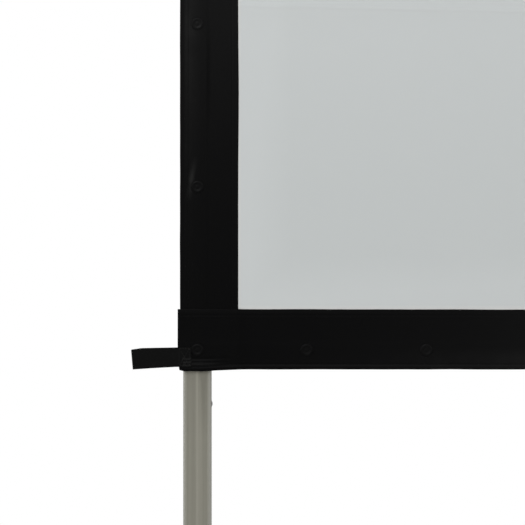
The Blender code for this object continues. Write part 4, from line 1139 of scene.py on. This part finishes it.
for side in ("left", "right"):
    for node in ("bottom_corner", "top_corner", "bottom_post_hinge", "top_post_hinge", "elbow_fork",
                 "elbow_tongue", "bottom_book_hinge", "top_book_hinge", "foot_bracket"):
        name = f"{node}_{side}"
        keep(f"{name}_casting", softened(name), bodyOf[name], "cast", [name])
print("castings softened")

pin = {"radius": 0.0030, "head": 0.0052, "rise": 0.0013, "steps": 24}
bookPin = {"radius": 0.0025, "head": 0.0045, "rise": 0.0020, "steps": 24}


# a riveted pin with a domed head at each end, or at one end only
def makePin(node, axis, sizes, heads=2, flip=False):
    low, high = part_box(node)
    radius, head, rise = sizes["radius"], sizes["head"], sizes["rise"]
    length = high[axis] - low[axis] - heads * rise
    dome = [(0.0, rise), (head * 0.45, rise * 0.92), (head * 0.75, rise * 0.68), (head * 0.94, rise * 0.30),
            (head, 0.0), (head * 0.96, -0.0001), (radius, -0.0001)]
    profile = [(r, h + length) for r, h in dome]
    if heads == 2:
        profile += [(r, -h) for r, h in reversed(dome)]
    else:
        profile += [(radius, 0.0004), (radius - 0.0004, 0.0), (0.0, 0.0)]
    sign = -1 if flip else 1
    way = [0, 0, 0]
    way[axis] = sign
    place = (low + high) / 2
    place[axis] = (high[axis] if flip else low[axis]) + (rise if heads == 2 else 0.0) * sign
    return put(turned(profile, sizes["steps"]), place, way)


for node, axis, body in (
    ("bottom_corner_pin", 1, "frame"), ("top_corner_pin", 1, "top"), ("elbow_pin", 1, "post_lower"),
    ("front_foot_pin", 0, "base"), ("rear_foot_pin", 0, "base"),
):
    bothSides(f"{node}_rivet", makePin(f"{node}_left", axis, pin), body, "zinc", node)
for node, flip in (("top_book_pin", False), ("bottom_book_pin", True)):
    keep(f"{node}_turned", makePin(node, 2, bookPin, 1, flip), bodyOf[node], "zinc", [node])

plunger = {
    "profile": [
        (0.0, 0.0170), (0.0040, 0.0170), (0.0060, 0.0167), (0.0067, 0.0162), (0.0070, 0.0154),
        (0.0070, 0.0138), (0.0066, 0.0131), (0.0058, 0.0127), (0.0049, 0.0122), (0.0048, 0.0110),
        (0.0048, 0.0048), (0.0044, 0.0043), (0.0022, 0.0043), (0.0022, 0.0004), (0.0018, 0.0), (0.0, 0.0),
    ],
    "steps": 28,
}


def makePlunger():
    low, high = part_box("elbow_plunger_left")
    return put(turned(plunger["profile"], plunger["steps"]), (postX, low.y, (low.z + high.z) / 2), (0, 1, 0))


bothSides("elbow_plunger_knob", makePlunger(), "plunger", "zinc", "elbow_plunger")
print("pins turned")

collar = {"half": 0.0195, "corner": 0.0028, "edge": 0.0012, "groove": 0.0007, "sleeve": 0.016175,
          "slide": 0.013875, "gap": 0.0003, "hole": 0.0042, "boss": 0.0095, "bossRise": 0.0050, "steps": 28}


# the clamp collar round the leg's joint, with the boss that the knob screws into
def makeCollar():
    low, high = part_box("leg_collar_left")
    height = high.z - low.z
    half, hole, radius = collar["half"], collar["hole"], collar["boss"]
    mouth, groove = half - collar["edge"], half - collar["groove"]
    shape, face = section(mouth, collar["corner"], 6)
    steps = [(0.0004, half - 0.0004), (collar["edge"], half), (0.0050, half), (0.0056, groove),
             (0.0066, groove), (0.0072, half)]
    steps += [(height - rise, width) for rise, width in reversed(steps)] + [(height, mouth)]
    top = pullThrough(shape, face, mouth, steps)
    bmesh.ops.inset_region(shape, faces=[top], thickness=mouth - collar["sleeve"], use_even_offset=True)
    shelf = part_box("upper_leg_left")[0].z - collar["gap"] - low.z
    top = pull(shape, top, shelf - height)
    bore(shape, [face, top], [mouth - collar["slide"], collar["sleeve"] - collar["slide"]])
    put(shape, (postX, 0, low.z))
    reach = postX - half - low.x
    outline = [(hole, reach + 0.0003), (0.0080, reach + 0.0003), (0.0089, reach), (radius, reach - 0.0010),
               (radius, 0.0008), (0.0104, -0.0006), (hole, -0.0006), (hole, reach + 0.0003)]
    boss = put(turned(outline, collar["steps"]), (postX - half, 0, middle("leg_knob_left", 2)), (-1, 0, 0))
    return join(shape, boss)


bothSides("leg_clamp_collar", makeCollar(), "frame", "moulded", "leg_collar")

knob = {"radius": 0.0180, "lobe": 0.0019, "lobes": 6, "points": 72, "thickness": 0.0140, "narrow": 0.86,
        "gap": 0.0005, "sunk": 0.002, "screw": 0.0039}
knobSeat = postX - collar["half"] - collar["bossRise"]


# a six-lobed hand knob with a rounded rim, a sunk face and its screw
def makeKnob():
    low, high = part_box("leg_knob_left")
    shape = bmesh.new()
    bmesh.ops.create_circle(shape, cap_ends=True, segments=knob["points"], radius=knob["radius"])
    for vertex in shape.verts:
        angle = math.atan2(vertex.co.y, vertex.co.x)
        radius = knob["radius"] + knob["lobe"] * math.cos(knob["lobes"] * angle)
        vertex.co = (radius * math.cos(angle), radius * math.sin(angle), 0)
    face = shape.faces[:][0]
    bmesh.ops.scale(shape, vec=(knob["narrow"], knob["narrow"], 1), verts=shape.verts)
    deep = knob["thickness"]
    steps = [(0.0004, 0.94), (0.0013, 0.985), (0.0026, 1.0)]
    steps += [(deep - rise, width) for rise, width in reversed(steps)]
    steps += [(deep, 0.88), (deep, 0.70), (deep - 0.0012, 0.66), (deep - 0.0012, 0.36), (deep - 0.0004, 0.33),
              (deep - 0.0002, 0.30)]
    pullThrough(shape, face, knob["narrow"], steps)
    bmesh.ops.recalc_face_normals(shape, faces=shape.faces)
    z = (low.z + high.z) / 2
    start = low.x + deep
    put(shape, (start, 0, z), (-1, 0, 0))
    seat = knobSeat - knob["gap"]
    length = seat - start
    hub = turned([(0.0, length + knob["sunk"]), (0.0072, length + knob["sunk"]), (0.0072, length),
                  (0.0078, length - 0.0008), (0.0080, 0.0008), (0.0074, 0.0), (0.0, 0.0)], 28)
    return join(shape, put(hub, (seat, 0, z), (-1, 0, 0)))


def makeKnobScrew():
    low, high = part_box("leg_knob_left")
    z = (low.z + high.z) / 2
    length = high.x - knobSeat
    radius = knob["screw"]
    screw = [(0.0, length), (0.0030, length), (radius, length - 0.0012), (radius, 0.0), (0.0, 0.0)]
    shape = put(turned(screw, 20), (knobSeat, 0, z), (1, 0, 0))
    insert = turned([(0.0, 0.0003), (0.0036, 0.0003), (0.0044, 0.0), (0.0050, -0.0010), (0.0, -0.0010)], 20)
    return join(shape, put(insert, (low.x + 0.0004, 0, z), (-1, 0, 0)))


bothSides("leg_knob_grip", makeKnob(), "knob", "moulded", "leg_knob")
bothSides("leg_knob_screw", makeKnobScrew(), "knob", "zinc", "leg_knob")
print("clamps made")

# floor, world and lamps
stage = {"floorSize": 24.0, "floorTone": (0.90, 0.90, 0.89), "sky": 0.56, "fade": (2.2, 6.0)}


def makeFloor():
    shape = bmesh.new()
    bmesh.ops.create_grid(shape, x_segments=4, y_segments=4, size=stage["floorSize"] / 2)
    mesh = bpy.data.meshes.new("floor")
    shape.to_mesh(mesh)
    shape.free()
    finish, tree, shader = startFinish("pale_floor", 0.9, 0.0, 0.1)
    cloud = use(tree, "mottle", Scale=0.8, Contrast=0.4)
    tone = blendColours(tree, cloud, [c * 0.99 for c in stage["floorTone"]], stage["floorTone"])
    tree.links.new(tone, shader["Base Color"])
    # the floor runs out into the white background
    place = add(tree, "ShaderNodeTexCoord").outputs["Object"]
    away = add(tree, "ShaderNodeVectorMath", {0: place}, operation="LENGTH").outputs["Value"]
    seen = times(tree, spread(tree, away, *stage["fade"]), add(tree, "ShaderNodeLightPath").outputs[0])
    white = add(tree, "ShaderNodeEmission", {"Color": (1, 1, 1, 1), "Strength": 1.0}).outputs[0]
    matt = tree.nodes["Principled BSDF"].outputs[0]
    mixed = add(tree, "ShaderNodeMixShader", {0: seen, 1: matt, 2: white}).outputs[0]
    tree.links.new(mixed, tree.nodes["Material Output"].inputs[0])
    mesh.materials.append(finish)
    placed("floor", mesh)


def makeWorld():
    world = bpy.data.worlds.new("studio")
    world.use_nodes = True
    tree = world.node_tree
    tree.nodes.clear()
    ray = add(tree, "ShaderNodeLightPath").outputs
    seen = maths(tree, "MAXIMUM", ray["Is Camera Ray"], ray["Is Glossy Ray"])
    seen = maths(tree, "MAXIMUM", seen, ray["Is Transmission Ray"])
    dim = add(tree, "ShaderNodeBackground", {"Color": (1, 1, 1, 1), "Strength": stage["sky"]})
    white = add(tree, "ShaderNodeBackground", {"Color": (1, 1, 1, 1), "Strength": 1.0})
    mixed = add(tree, "ShaderNodeMixShader", {0: seen, 1: dim.outputs[0], 2: white.outputs[0]})
    add(tree, "ShaderNodeOutputWorld", {"Surface": mixed.outputs[0]})
    bpy.context.scene.world = world

lamps = {
    "key": {"place": (-1.75, -2.1, 2.1), "aim": (-1.15, 0, 1.1), "size": 0.9, "power": 21.0},
    "fill": {"place": (1.6, -3.4, 2.4), "aim": (0, 0, 1.2), "size": 1.6, "power": 16.0},
    "rim": {"place": (-4.6, -0.9, 1.2), "aim": (-1.2, 0, 0.9), "size": 1.6, "power": 11.0},
    "back": {"place": (0.5, 3.6, 3.0), "aim": (0, 0, 1.2), "size": 2.6, "power": 60.0},
}


def makeLamps():
    for name, values in lamps.items():
        data = bpy.data.lights.new(name, "AREA")
        data.shape = "SQUARE"
        data.size = values["size"]
        data.energy = values["power"]
        lamp = placed(name, data)
        way = Vector(values["aim"]) - Vector(values["place"])
        turn = way.to_track_quat("-Z", "Y").to_matrix().to_4x4()
        lamp.matrix_world = Matrix.Translation(values["place"]) @ turn
        lamp.visible_camera = False


makeFloor()
makeWorld()
makeLamps()
print("stage lit")
